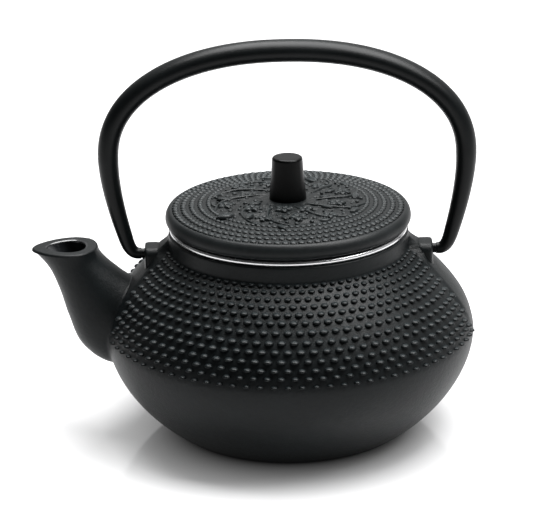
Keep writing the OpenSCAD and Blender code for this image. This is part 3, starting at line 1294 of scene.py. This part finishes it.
def within(loop, u, v):
    """Whether a point lies in a closed loop of points."""
    hit = False
    for (au, av), (bu, bv) in zip(loop, loop[1:] + loop[:1]):
        if (av > v) != (bv > v) and u < au + (bu - au) * (v - av) / (bv - av):
            hit = not hit
    return hit


def unrolled(point):
    """Place on the body by turn from the spout and height."""
    return Vector((math.atan2(point.y, -point.x) * body_radius(point.z), point.z))


def stud_spots(count, margin):
    """Places of all hobnails, clear of the spout's root, the lugs and the tongues."""
    flat = [unrolled(foot) for foot in spout_outside()[1]]
    centre = sum(flat, Vector((0, 0))) / len(flat)
    root = [tuple(foot + (foot - centre).normalized() * margin) for foot in flat]
    spots = []
    for row, (height, share) in enumerate(STUD_ROWS):
        z = height * MM
        for k in range(count):
            turn = STUD_TURN + 2 * math.pi * (k + 0.5 * (row % 2)) / count
            angle = turn - math.pi / 2
            place = Vector((math.cos(angle), math.sin(angle), 0)) * body_radius(z)
            place.z = z
            aside = abs(math.atan2(place.y, abs(place.x)))
            if aside < tongue_half(*place) + math.radians(1.2):
                continue
            here = unrolled(place)
            if place.x < 0 and within(root, here.x, here.y):
                continue
            spots.append((place, 0.0, share))
    return spots


class TEAPOT_OT_studs(bpy.types.Operator):
    """Sets the rows of hobnails on the upper body"""

    bl_idname = "teapot.studs"
    bl_label = "Hobnails"

    def execute(self, context):
        settings = context.scene.teapot_pot
        rings = ((1.0, 0.0), (0.95, 0.24), (0.84, 0.5), (0.66, 0.74), (0.38, 0.93))
        dome = stud_shape("stud", rings, 10)
        finish = context.scene.teapot_finish
        # Hobnail iron with a painted highlight on the stud tips.
        stud_iron_painted_tips = iron("Hobnail iron", finish.iron, finish.roughness - 0.03, 0.07 * MM, 0.32)
        # Known fault: the domes stand upright, so it is their sides that stand out from the skin.
        studs = scatter(
            "pot_hobnails",
            dome,
            stud_spots(settings.studs, 1.3 * MM),
            settings.stud_width,
            settings.stud_height,
            settings.unevenness,
            11,
            stud_iron_painted_tips,
        )
        dress(studs, "body_iron", stud_iron_painted_tips)
        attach(studs, "pot")
        return {"FINISHED"}


def lid_outline():
    """Outline of the lid's disc and the skirt that drops into the infuser."""
    z = LID_Z
    points = [(SCREW_HOLE_R, LID_UNDER_Z), (6.5 * MM, LID_UNDER_Z)]
    points.append((12 * MM, LID_UNDER_Z - 0.2 * MM))
    points += [(LID_SKIRT_IN_R - 1 * MM, z + 1.7 * MM), (LID_SKIRT_IN_R, z + 0.6 * MM)]
    bead = 0.5 * MM
    points += arc(LID_SKIRT_IN_R + bead, LID_SKIRT_Z + bead, bead, 180, 270, 4)
    points += arc(LID_SKIRT_OUT_R - bead, LID_SKIRT_Z + bead, bead, 270, 360, 4)
    points += [(LID_SKIRT_OUT_R, z - 0.5 * MM), (LID_SKIRT_OUT_R + 0.3 * MM, z)]
    points += [(r * MM, z + h * MM) for r, h in LID_SIDE]
    steps = 76
    for k in range(1, steps + 1):
        radius = LID_FACE_R + (LID_FLAT_R - LID_FACE_R) * k / steps
        points.append((radius, lid_top(radius)))
    points.append((SCREW_HOLE_R, LID_SEAT_Z))
    return points


def roughen(disc):
    """Gives the lid's face inside the bead rings the uneven ground of sand casting."""
    for vertex in disc.data.vertices:
        x, y, z = vertex.co
        radius = math.hypot(x, y)
        if abs(z - lid_top(radius)) > 0.01 * MM:
            continue
        cover = smooth_step((radius - 6.6 * MM) / MM) * smooth_step((23.6 * MM - radius) / MM)
        coarse = noise.noise(Vector((x, y, 0)) / (2.1 * MM))
        fine = noise.noise(Vector((x, y, 9)) / (0.95 * MM))
        vertex.co.z += cover * (0.34 * coarse + 0.2 * fine) * MM


def petal_shape(name, long, wide, dent, columns=8, rows=6):
    """Closed pillow with a pointed end, from its foot at the origin along +X."""
    points, faces = [], []
    for layer in (1, 0):
        for i in range(columns + 1):
            u = i / columns
            half = wide * math.sin(math.pi * u**0.85) ** 0.7 if 0 < i < columns else 0
            for j in range(rows + 1):
                v = 2 * j / rows - 1
                rise = (1 - v * v) ** 0.6 * math.sin(math.pi * min(u * 0.92 + 0.06, 1)) ** 0.5
                rise *= 1 - dent * math.exp(-((v / 0.28) ** 2))
                z = rise if layer else -0.5
                points.append((long * u, half * v, z))
    stride = (columns + 1) * (rows + 1)
    for i in range(columns):
        for j in range(rows):
            a = i * (rows + 1) + j
            top = (a, a + 1, a + rows + 2, a + rows + 1)
            faces.append(top)
            faces.append(tuple(stride + k for k in top))
    for i in range(columns):
        for j in (0, rows):
            a = i * (rows + 1) + j
            b = a + rows + 1
            faces.append((a, b, b + stride, a + stride))
    piece = blank(name)
    piece.data.from_pydata(points, [], faces)
    work = bmesh.new()
    work.from_mesh(piece.data)
    bmesh.ops.remove_doubles(work, verts=work.verts, dist=1e-5)
    bmesh.ops.dissolve_degenerate(work, edges=work.edges, dist=1e-6)
    bmesh.ops.holes_fill(work, edges=[e for e in work.edges if len(e.link_faces) == 1], sides=0)
    bmesh.ops.recalc_face_normals(work, faces=work.faces)
    work.to_mesh(piece.data)
    work.free()
    mark_tips(piece)
    return piece


def lid_spot(radius, angle, turn, share):
    """Place on the lid's face. Turn is measured from +X."""
    place = Vector((radius * math.cos(angle), radius * math.sin(angle), lid_top(radius)))
    return place, turn, share


# Flowers on the lid: radius in millimetres, angle in degrees, size
FLOWERS = (
    (11.5, -98, 1.0), (12.5, -66, 0.85), (18.5, -80, 1.05), (20.5, -52, 0.9), (19.5, -112, 0.8),
    (16.0, -20, 0.95), (18.0, 18, 0.9), (14.5, 48, 0.85), (20.0, 80, 1.0), (15.5, 112, 0.85),
    (19.5, 140, 0.95), (13.5, 165, 0.8), (20.0, -165, 0.9), (14.5, -140, 0.95),
)
# Leaves on the lid: radius in millimetres, angle, direction in degrees, size
LEAVES = (
    (21.5, -140, 205, 1.1), (18.0, -128, 250, 0.9), (23.5, -98, 300, 0.8), (22.5, -66, 20, 0.85),
    (23.0, -34, 60, 1.0), (13.0, -40, -30, 0.8), (20.5, -2, 80, 1.1), (23.0, 34, 120, 0.9),
    (12.5, 22, 40, 0.8), (19.0, 60, 140, 1.0), (23.0, 98, 190, 0.9), (12.5, 84, 100, 0.8),
    (21.5, 122, 210, 0.95), (23.0, 158, 250, 1.0), (17.5, 178, 185, 0.9), (13.0, 140, 130, 0.75),
    (9.5, -150, 200, 0.8), (23.2, -178, 275, 0.8), (9.8, 0, 15, 0.7), (16.5, -96, 285, 0.7),
    (24.0, -118, 330, 0.75), (22.5, 64, 150, 0.75), (11.0, -118, 240, 0.7),
)
# Stems on the lid: start and end radius in millimetres, start and end angle in degrees
STEMS = (
    (8.5, 23.5, -160, -118), (9.0, 24.0, -128, -88), (9.0, 23.8, -78, -40), (8.5, 24.0, -48, -8),
    (9.0, 24.2, -12, 26), (8.5, 24.0, 30, 62), (9.0, 23.6, 62, 104), (8.5, 24.2, 96, 138),
    (9.0, 23.8, 128, 172), (9.0, 24.2, 160, 202),
)


def stem_mesh(name, rise):
    """Thin raised stems that curve out over the lid's face."""
    points, faces = [], []
    sides, steps = 8, 22
    for start_r, end_r, start_a, end_a in STEMS:
        rings = []
        for i in range(steps + 1):
            t = i / steps
            radius = (start_r + (end_r - start_r) * t) * MM
            sway = 4 * math.sin(t * 2 * math.pi)
            angle = math.radians(start_a + (end_a - start_a) * t**1.4 + sway)
            rings.append((radius, angle, t))
        for i, (radius, angle, t) in enumerate(rings):
            before, after = rings[max(i - 1, 0)], rings[min(i + 1, steps)]
            a = Vector((before[0] * math.cos(before[1]), before[0] * math.sin(before[1]), 0))
            b = Vector((after[0] * math.cos(after[1]), after[0] * math.sin(after[1]), 0))
            aside = (b - a).normalized().cross(Vector((0, 0, 1)))
            thick = rise * (0.75 * math.sin(math.pi * (0.06 + 0.88 * t)) ** 0.5 + 0.1)
            centre = Vector((radius * math.cos(angle), radius * math.sin(angle), lid_top(radius)))
            for k in range(sides):
                turn = 2 * math.pi * k / sides
                up = Vector((0, 0, math.sin(turn) * thick))
                points.append(centre + aside * (math.cos(turn) * thick) + up)
        first = len(points) - (steps + 1) * sides
        for i in range(steps):
            for k in range(sides):
                p = first + i * sides + k
                q = first + i * sides + (k + 1) % sides
                faces.append((p, q, q + sides, p + sides))
        faces.append(tuple(first + k for k in range(sides)))
        faces.append(tuple(first + steps * sides + k for k in range(sides)))
    piece = fill(blank(name), points, faces)
    # A tip of 0.5 everywhere gives the stems part of the painted highlight.
    mark(piece, "tip", [0.5] * len(piece.data.vertices))
    return shade(piece, 60)


class TEAPOT_OT_lid(bpy.types.Operator):
    """Turns the lid and sets its bead rings, flowers, leaves and stems"""

    bl_idname = "teapot.lid"
    bl_label = "Lid"

    def execute(self, context):
        settings = context.scene.teapot_lid
        finish = context.scene.teapot_finish
        # Raised lid iron: the lid's painted paler colour, with a painted highlight on the tips of beads,
        # flowers, leaves and berries.
        raised = iron("Raised lid iron", lid_colour_with_painted_light(), finish.roughness - 0.12, 0.06 * MM, 0.4)
        disc = revolve("lid_disc", lid_outline(), 300)
        roughen(disc)
        shade(disc, 34)
        dress(disc, "lid_iron", lid_iron())
        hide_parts("lid")
        beads = self.beads(settings, raised)
        petals = self.petals(settings, raised)
        leaves = self.leaves(settings, raised)
        stems = stem_mesh("lid_stems", settings.relief * 0.8)
        berries = self.berries(settings, raised)
        for piece in (beads, petals, leaves, stems, berries):
            dress(piece, "lid_iron", raised)
        for piece in (disc, beads, petals, leaves, stems, berries):
            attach(piece, "lid")
        return {"FINISHED"}

    def beads(self, settings, finish):
        rings = ((1.0, -0.02), (0.92, 0.25), (0.72, 0.6), (0.4, 0.88))
        spots = []
        outer = BEAD_RINGS[-1]
        for row, radius in enumerate(BEAD_RINGS):
            for k in range(settings.beads):
                angle = 2 * math.pi * (k + 0.5 * (row % 2)) / settings.beads
                share = (radius / outer) ** 0.8
                spots.append(lid_spot(radius * MM, angle, 0.0, share))
        dome = stud_shape("bead", rings, 9)
        return scatter(
            "lid_beads", dome, spots, settings.bead_width, settings.bead_height, 0.07, 23, finish
        )

    def berries(self, settings, finish):
        rings = ((1.0, -0.02), (0.9, 0.3), (0.7, 0.62), (0.4, 0.88))
        spots = []
        count = 150
        for k in range(count):
            radius = 7.5 + 15.4 * math.sqrt((k + 0.5) / count)
            spots.append(lid_spot(radius * MM, k * math.radians(137.508), 0.0, 1.0))
        dome = stud_shape("berry", rings, 8)
        height = settings.relief * 0.5
        return scatter("lid_berries", dome, spots, 0.62 * MM, height, 0.4, 41, finish)

    def petals(self, settings, finish):
        spots = []
        for radius, degrees, size in FLOWERS:
            angle = math.radians(degrees)
            x, y = radius * math.cos(angle), radius * math.sin(angle)
            for k in range(5):
                turn = math.radians(degrees * 3 + 72 * k)
                px = (x + 0.35 * size * math.cos(turn)) * MM
                py = (y + 0.35 * size * math.sin(turn)) * MM
                away = math.hypot(px, py)
                spots.append(lid_spot(away, math.atan2(py, px), turn, size))
        shape = petal_shape("petal", 2.7, 1.15, 0.3)
        return scatter("lid_flowers", shape, spots, MM, settings.relief, 0.08, 31, finish)

    def leaves(self, settings, finish):
        spots = []
        for radius, degrees, heading, size in LEAVES:
            spots.append(
                lid_spot(radius * MM, math.radians(degrees), math.radians(heading), size)
            )
        shape = petal_shape("leaf", 5.2, 1.25, 0.45, 10)
        return scatter("lid_leaves", shape, spots, MM, settings.relief, 0.1, 37, finish)


class TEAPOT_OT_knob(bpy.types.Operator):
    """Turns the knob with the screw and washer that hold it"""

    bl_idname = "teapot.knob"
    bl_label = "Knob"

    def execute(self, context):
        finish = context.scene.teapot_finish
        self.knob()
        fastener = steel("Fastener steel", finish.steel, 0.3, 0.12 * MM)
        self.washer(fastener)
        self.screw(fastener)
        return {"FINISHED"}

    def knob(self):
        low, high = KNOB_LOW.z, KNOB_HIGH.z
        base_r, top_r = KNOB_HIGH.x, 4.75 * MM
        bore_r, bore_z = 2.05 * MM, low + 8.5 * MM
        edge = 0.85 * MM
        outline = [(0, bore_z + 0.8 * MM), (bore_r, bore_z), (bore_r, low)]
        outline += arc(base_r - 0.3 * MM, low + 0.3 * MM, 0.3 * MM, 270, 360, 4)
        for k in range(1, 12):
            share = k / 12
            waist = 0.08 * MM * math.sin(math.pi * share)
            height = low + 0.3 * MM + (high - edge - low - 0.3 * MM) * share
            outline.append((base_r + (top_r - base_r) * share - waist, height))
        outline += arc(top_r - edge, high - edge, edge, 0, 90, 8)
        outline += [(2.4 * MM, high), (0, high)]
        knob = shade(revolve("lid_knob_turned", outline, 96), 40)
        dress(knob, "knob_iron", knob_iron())
        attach(knob, "lid")
        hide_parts("lid_knob")

    def washer(self, finish):
        low, high, out_r = WASHER_LOW.z, WASHER_HIGH.z, WASHER_HIGH.x
        edge = 0.18 * MM
        outline = [(SCREW_HOLE_R, high), (SCREW_HOLE_R, low)]
        outline += arc(out_r - edge, low + edge, edge, 270, 360, 3)
        outline += arc(out_r - edge, high - edge, edge, 0, 90, 3)
        washer = shade(revolve("knob_washer_plate", outline, 64))
        dress(washer, "screw_steel", finish)
        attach(washer, "lid")
        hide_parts("knob_washer")

    def screw(self, finish):
        low, high = SCREW_LOW.z, SCREW_HIGH.z
        head_r, head_z = SCREW_HIGH.x, WASHER_LOW.z
        shank_r = 2 * MM
        outline = [(0, low), (head_r * 0.55, low + 0.04 * MM)]
        outline += arc(head_r - 0.7 * MM, low + 0.8 * MM, 0.7 * MM, 290, 360, 6)
        outline += [(head_r, head_z), (shank_r, head_z)]
        turns = 15
        pitch = (high - 0.6 * MM - LID_SEAT_Z) / turns
        for k in range(turns):
            z = LID_SEAT_Z + pitch * k
            outline += [(shank_r, z), (shank_r - 0.25 * MM, z + pitch / 2)]
        outline += [(shank_r, high - 0.6 * MM), (shank_r - 0.5 * MM, high), (0, high)]
        screw = revolve("knob_screw_pan_head", outline, 48)
        half_w, deep = 0.5 * MM, 1.1 * MM
        reach = head_r + 1 * MM
        rings = []
        for z in (low - 1 * MM, low + deep):
            corners = ((-reach, -half_w), (reach, -half_w), (reach, half_w), (-reach, half_w))
            rings.append([Vector((x, y, z)) for x, y in corners])
        combine(screw, loft("slot", rings), "DIFFERENCE")
        shade(screw)
        dress(screw, "screw_steel", finish)
        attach(screw, "lid")
        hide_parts("knob_screw")


def handle_path(half_t, half_d):
    """Stations of the handle's right half from the peg to the top: x, z and half sizes."""
    peg = PEG_R
    rows = [(PEG_END_X, PEG_Z, peg * 0.8, peg * 0.8), (PEG_END_X + 0.35 * MM, PEG_Z, peg, peg)]
    rows += [(STUB_END_X, PEG_Z, peg, peg)]
    rows += [(STUB_END_X + 0.03 * MM, PEG_Z, HOOK_HALF * 0.95, HOOK_HALF * 0.95)]
    rows += [(STUB_END_X + 0.2 * MM, PEG_Z, HOOK_HALF, HOOK_HALF)]
    steps = 18
    start = (HOOK_END_X, PEG_Z)
    for i in range(steps):
        t = 1 - i / steps
        at = cubic(LEG_END, (49.7 * MM, 59.2 * MM), (48.7 * MM, PEG_Z), start, t)
        thick = LEG_HALF_T + (HOOK_HALF - LEG_HALF_T) * t
        deep = LEG_HALF_D + (HOOK_HALF - LEG_HALF_D) * t
        rows.append((at[0], at[1], thick, deep))
    steps = 24
    top = (ARCH_W, ARCH_Z)
    for i in range(steps):
        t = 1 - i / steps
        at = cubic(top, (ARCH_W, ARCH_Z - 8 * MM), (ARCH_W - 2.2 * MM, 70.5 * MM), LEG_END, t)
        thick = half_t + (LEG_HALF_T - half_t) * t
        deep = half_d + (LEG_HALF_D - half_d) * t
        rows.append((at[0], at[1], thick, deep))
    steps = 48
    for i in range(steps + 1):
        angle = math.pi / 2 * i / steps
        x, rise = superellipse(ARCH_W, ARCH_TOP - ARCH_Z, ARCH_POWER, angle)
        bulge = BAR_BULGE * math.sin(angle)
        rows.append((x, ARCH_Z + rise, half_t + bulge, half_d + bulge))
    return rows


class TEAPOT_OT_handle(bpy.types.Operator):
    """Sweeps the bail handle with its hooked pegs"""

    bl_idname = "teapot.handle"
    bl_label = "Handle"

    def execute(self, context):
        settings = context.scene.teapot_handle
        half = handle_path(settings.half_thickness, settings.half_depth)
        rows = half + [(-x, z, t, d) for x, z, t, d in reversed(half[:-1])]
        sides = 36
        rings = []
        for i, (x, z, thick, deep) in enumerate(rows):
            before, after = rows[max(i - 1, 0)], rows[min(i + 1, len(rows) - 1)]
            along = Vector((after[0] - before[0], 0, after[1] - before[1])).normalized()
            ring = []
            for k in range(sides):
                turn = 2 * math.pi * k / sides
                c, s = math.cos(turn), math.sin(turn)
                out = Vector((-along.z, 0, along.x)) * (thick * c)
                ring.append(Vector((x, deep * s, z)) + out)
            rings.append(ring)
        handle = shade(loft("handle_bail", rings), 45)
        dress(handle, "handle_iron", smooth_iron())
        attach(handle, "handle")
        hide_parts("handle")
        return {"FINISHED"}


class TEAPOT_OT_infuser(bpy.types.Operator):
    """Presses the infuser's rim and band and weaves its sieve"""

    bl_idname = "teapot.infuser"
    bl_label = "Infuser"

    def execute(self, context):
        settings = context.scene.teapot_infuser
        finish = context.scene.teapot_finish
        bright = steel("Rim steel", finish.steel, 0.24, 0.1 * MM)
        wire = steel("Wire steel", [c * 0.9 for c in finish.steel], 0.34, 0.3 * MM)
        self.rim(bright)
        self.band(bright)
        self.wall(settings, wire)
        self.floor(settings, wire)
        return {"FINISHED"}

    def rim(self, finish):
        top, low = RIM_HIGH.z, RIM_LOW.z
        bead = 0.85 * MM
        bead_r = RIM_HIGH.y - bead
        out_r, sheet = 33.6 * MM, 0.6 * MM
        in_r = out_r - sheet
        outline = [(in_r, low + 0.1 * MM), (in_r, top - 1 * MM)]
        outline += arc(in_r + 0.9 * MM, top - 0.9 * MM, 0.9 * MM, 165, 90, 5)
        outline += arc(bead_r, top - bead, bead, 90, -150, 22)
        outline += [(bead_r - 0.75 * MM, top - sheet), (out_r + 0.5 * MM, top - sheet)]
        outline += [(out_r + 0.15 * MM, top - 0.75 * MM), (out_r, top - 1.1 * MM)]
        outline += [(out_r, low + 0.1 * MM), (out_r - 0.1 * MM, low), (in_r + 0.1 * MM, low)]
        rim = shade(revolve("infuser_rolled_rim", outline, 200), 40)
        dress(rim, "infuser_steel", finish)
        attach(rim, "infuser")
        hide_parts("infuser_rim")

    def band(self, finish):
        low, high, out_r = BAND_LOW.z, BAND_HIGH.z, BAND_HIGH.y
        sheet = 0.6 * MM
        in_r = out_r - sheet
        lip_r = in_r - 4 * MM
        outline = [(lip_r, low), (out_r - 0.9 * MM, low)]
        outline += arc(out_r - 0.9 * MM, low + 0.9 * MM, 0.9 * MM, 285, 360, 5)
        outline += [(out_r, high - 0.1 * MM), (out_r - 0.1 * MM, high), (in_r + 0.1 * MM, high)]
        outline += [(in_r, high - 0.1 * MM), (in_r, low + 1 * MM)]
        outline += arc(in_r - 0.3 * MM, low + sheet + 0.3 * MM, 0.3 * MM, 345, 270, 3)
        outline += [(lip_r, low + sheet)]
        band = shade(revolve("infuser_band", outline, 160), 40)
        dress(band, "infuser_steel", finish)
        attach(band, "infuser")
        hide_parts("infuser_base_band")

    def wall(self, settings, finish):
        radius = MESH_HIGH.y - 0.3 * MM
        tall = MESH_HIGH.z - MESH_LOW.z - 0.6 * MM
        rings = round(tall / settings.pitch)
        wires = 2 * round(math.pi * radius / settings.pitch)
        wall = grow(
            blank("infuser_sieve_wall"),
            basket_tree(),
            {
                "Radius": radius,
                "Low": MESH_LOW.z + 0.3 * MM,
                "Pitch": tall / rings,
                "Rings": rings,
                "Wires": wires,
                "Wire radius": settings.wire,
                "Wave": settings.wire * 0.95,
                "Finish": finish,
            },
        )
        dress(wall, "mesh_steel", finish)
        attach(wall, "infuser")
        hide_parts("infuser_mesh_wall")

    def floor(self, settings, finish):
        radius = SIEVE_HIGH.y - 0.1 * MM
        sieve = grow(
            blank("infuser_sieve_floor"),
            sieve_tree(),
            {
                "Radius": radius,
                "Level": (SIEVE_LOW.z + SIEVE_HIGH.z) / 2,
                "Pitch": settings.pitch,
                "Wires": math.ceil(radius / settings.pitch),
                "Wire radius": settings.wire,
                "Wave": settings.wire * 0.95,
                "Finish": finish,
            },
        )
        dress(sieve, "mesh_steel", finish)
        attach(sieve, "infuser")
        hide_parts("infuser_mesh_floor")


def add_camera():
    """Long lens a metre away, a little above the pot."""
    back = Vector((0, -math.cos(VIEW_RISE), math.sin(VIEW_RISE)))
    lens = bpy.data.cameras.new("View")
    lens.sensor_width = 36
    lens.lens = VIEW_LENS
    camera = bpy.data.objects.new("View", lens)
    camera.location = VIEW_TARGET + back * VIEW_DISTANCE
    level = (-back).to_track_quat("-Z", "Y").to_matrix()
    roll = Matrix.Rotation(VIEW_ROLL, 3, "Z")
    camera.rotation_euler = (level @ roll).to_euler()
    bpy.context.scene.collection.objects.link(camera)
    bpy.context.scene.camera = camera


def add_soft_box(name, place, aim, size, power):
    """White rectangular lamp that points at a place."""
    lamp = bpy.data.lights.new(name, "AREA")
    lamp.shape = "RECTANGLE"
    lamp.size, lamp.size_y = size
    lamp.energy = power
    box = bpy.data.objects.new(name, lamp)
    box.location = place
    box.rotation_euler = (Vector(aim) - Vector(place)).to_track_quat("-Z", "Y").to_euler()
    bpy.context.scene.collection.objects.link(box)


def add_room(brightness):
    """White room that is dim in front of the pot and bright behind and above it."""
    world = bpy.data.worlds.new("Room")
    world.use_nodes = True
    world.node_tree.nodes.clear()
    sheet = Sheet(world.node_tree)
    way = sheet.add("ShaderNodeTexCoord", None, None, "Generated")
    x, y, z = sheet.split(way)
    glow = (x * 0.3 + y * 0.58 + z * 0.74).ramp(-0.1, 0.95)
    lit = 0.02 + glow ** 1.7 * brightness
    seen = sheet.add("ShaderNodeLightPath", None, None, "Is Camera Ray")
    strength = lit * (1 - seen) + seen
    room = sheet.add("ShaderNodeBackground", None, {"Color": (1, 1, 1, 1), "Strength": strength})
    sheet.add("ShaderNodeOutputWorld", None, {"Surface": room})
    bpy.context.scene.world = world


class TEAPOT_OT_stage(bpy.types.Operator):
    """Lays the floor and sets the camera, the soft boxes and the room"""

    bl_idname = "teapot.stage"
    bl_label = "Stage"

    def execute(self, context):
        settings = context.scene.teapot_stage
        half = 2.5
        floor = blank("Floor")
        corners = [(-half, -half, 0), (half, -half, 0), (half, half, 0), (-half, half, 0)]
        floor.data.from_pydata(corners, [], [(0, 1, 2, 3)])
        floor.data.materials.append(pale_floor("Floor board", settings.floor, settings.gloss))
        add_camera()
        lamp = settings.lamp
        add_soft_box("Overhead", (0.08, 0.14, 0.8), (0, 0, 0.05), (0.8, 0.6), lamp)
        add_soft_box("Right", (0.42, -0.12, 0.65), (0, 0, 0.05), (0.3, 0.4), lamp * 0.2)
        add_room(settings.sky)
        context.scene.view_settings.view_transform = "Standard"
        return {"FINISHED"}


OPERATORS = (
    TEAPOT_OT_pot,
    TEAPOT_OT_studs,
    TEAPOT_OT_lid,
    TEAPOT_OT_knob,
    TEAPOT_OT_handle,
    TEAPOT_OT_infuser,
    TEAPOT_OT_stage,
)
SETTINGS = {
    "teapot_pot": TEAPOT_PG_pot,
    "teapot_lid": TEAPOT_PG_lid,
    "teapot_handle": TEAPOT_PG_handle,
    "teapot_infuser": TEAPOT_PG_infuser,
    "teapot_finish": TEAPOT_PG_finish,
    "teapot_stage": TEAPOT_PG_stage,
}


class TEAPOT_PT_sidebar(bpy.types.Panel):
    """Sizes, colours and build steps of the teapot"""

    bl_idname = "TEAPOT_PT_sidebar"
    bl_label = "Cast Iron Teapot"
    bl_space_type = "VIEW_3D"
    bl_region_type = "UI"
    bl_category = "Teapot"

    def draw(self, context):
        for name, group in SETTINGS.items():
            box = self.layout.box()
            box.label(text=name.replace("teapot_", "").capitalize())
            for field in group.__annotations__:
                box.prop(getattr(context.scene, name), field)
        for operator in OPERATORS:
            self.layout.operator(operator.bl_idname)


def register():
    for item in (*SETTINGS.values(), *OPERATORS, TEAPOT_PT_sidebar):
        bpy.utils.register_class(item)
    for name, group in SETTINGS.items():
        setattr(bpy.types.Scene, name, bpy.props.PointerProperty(type=group))


def unregister():
    for name in SETTINGS:
        delattr(bpy.types.Scene, name)
    for item in (TEAPOT_PT_sidebar, *reversed(OPERATORS), *reversed(SETTINGS.values())):
        bpy.utils.unregister_class(item)


def main():
    register()
    bpy.ops.teapot.pot()
    bpy.ops.teapot.studs()
    bpy.ops.teapot.lid()
    bpy.ops.teapot.knob()
    bpy.ops.teapot.handle()
    bpy.ops.teapot.infuser()
    bpy.ops.teapot.stage()


if __name__ == "__main__":
    main()
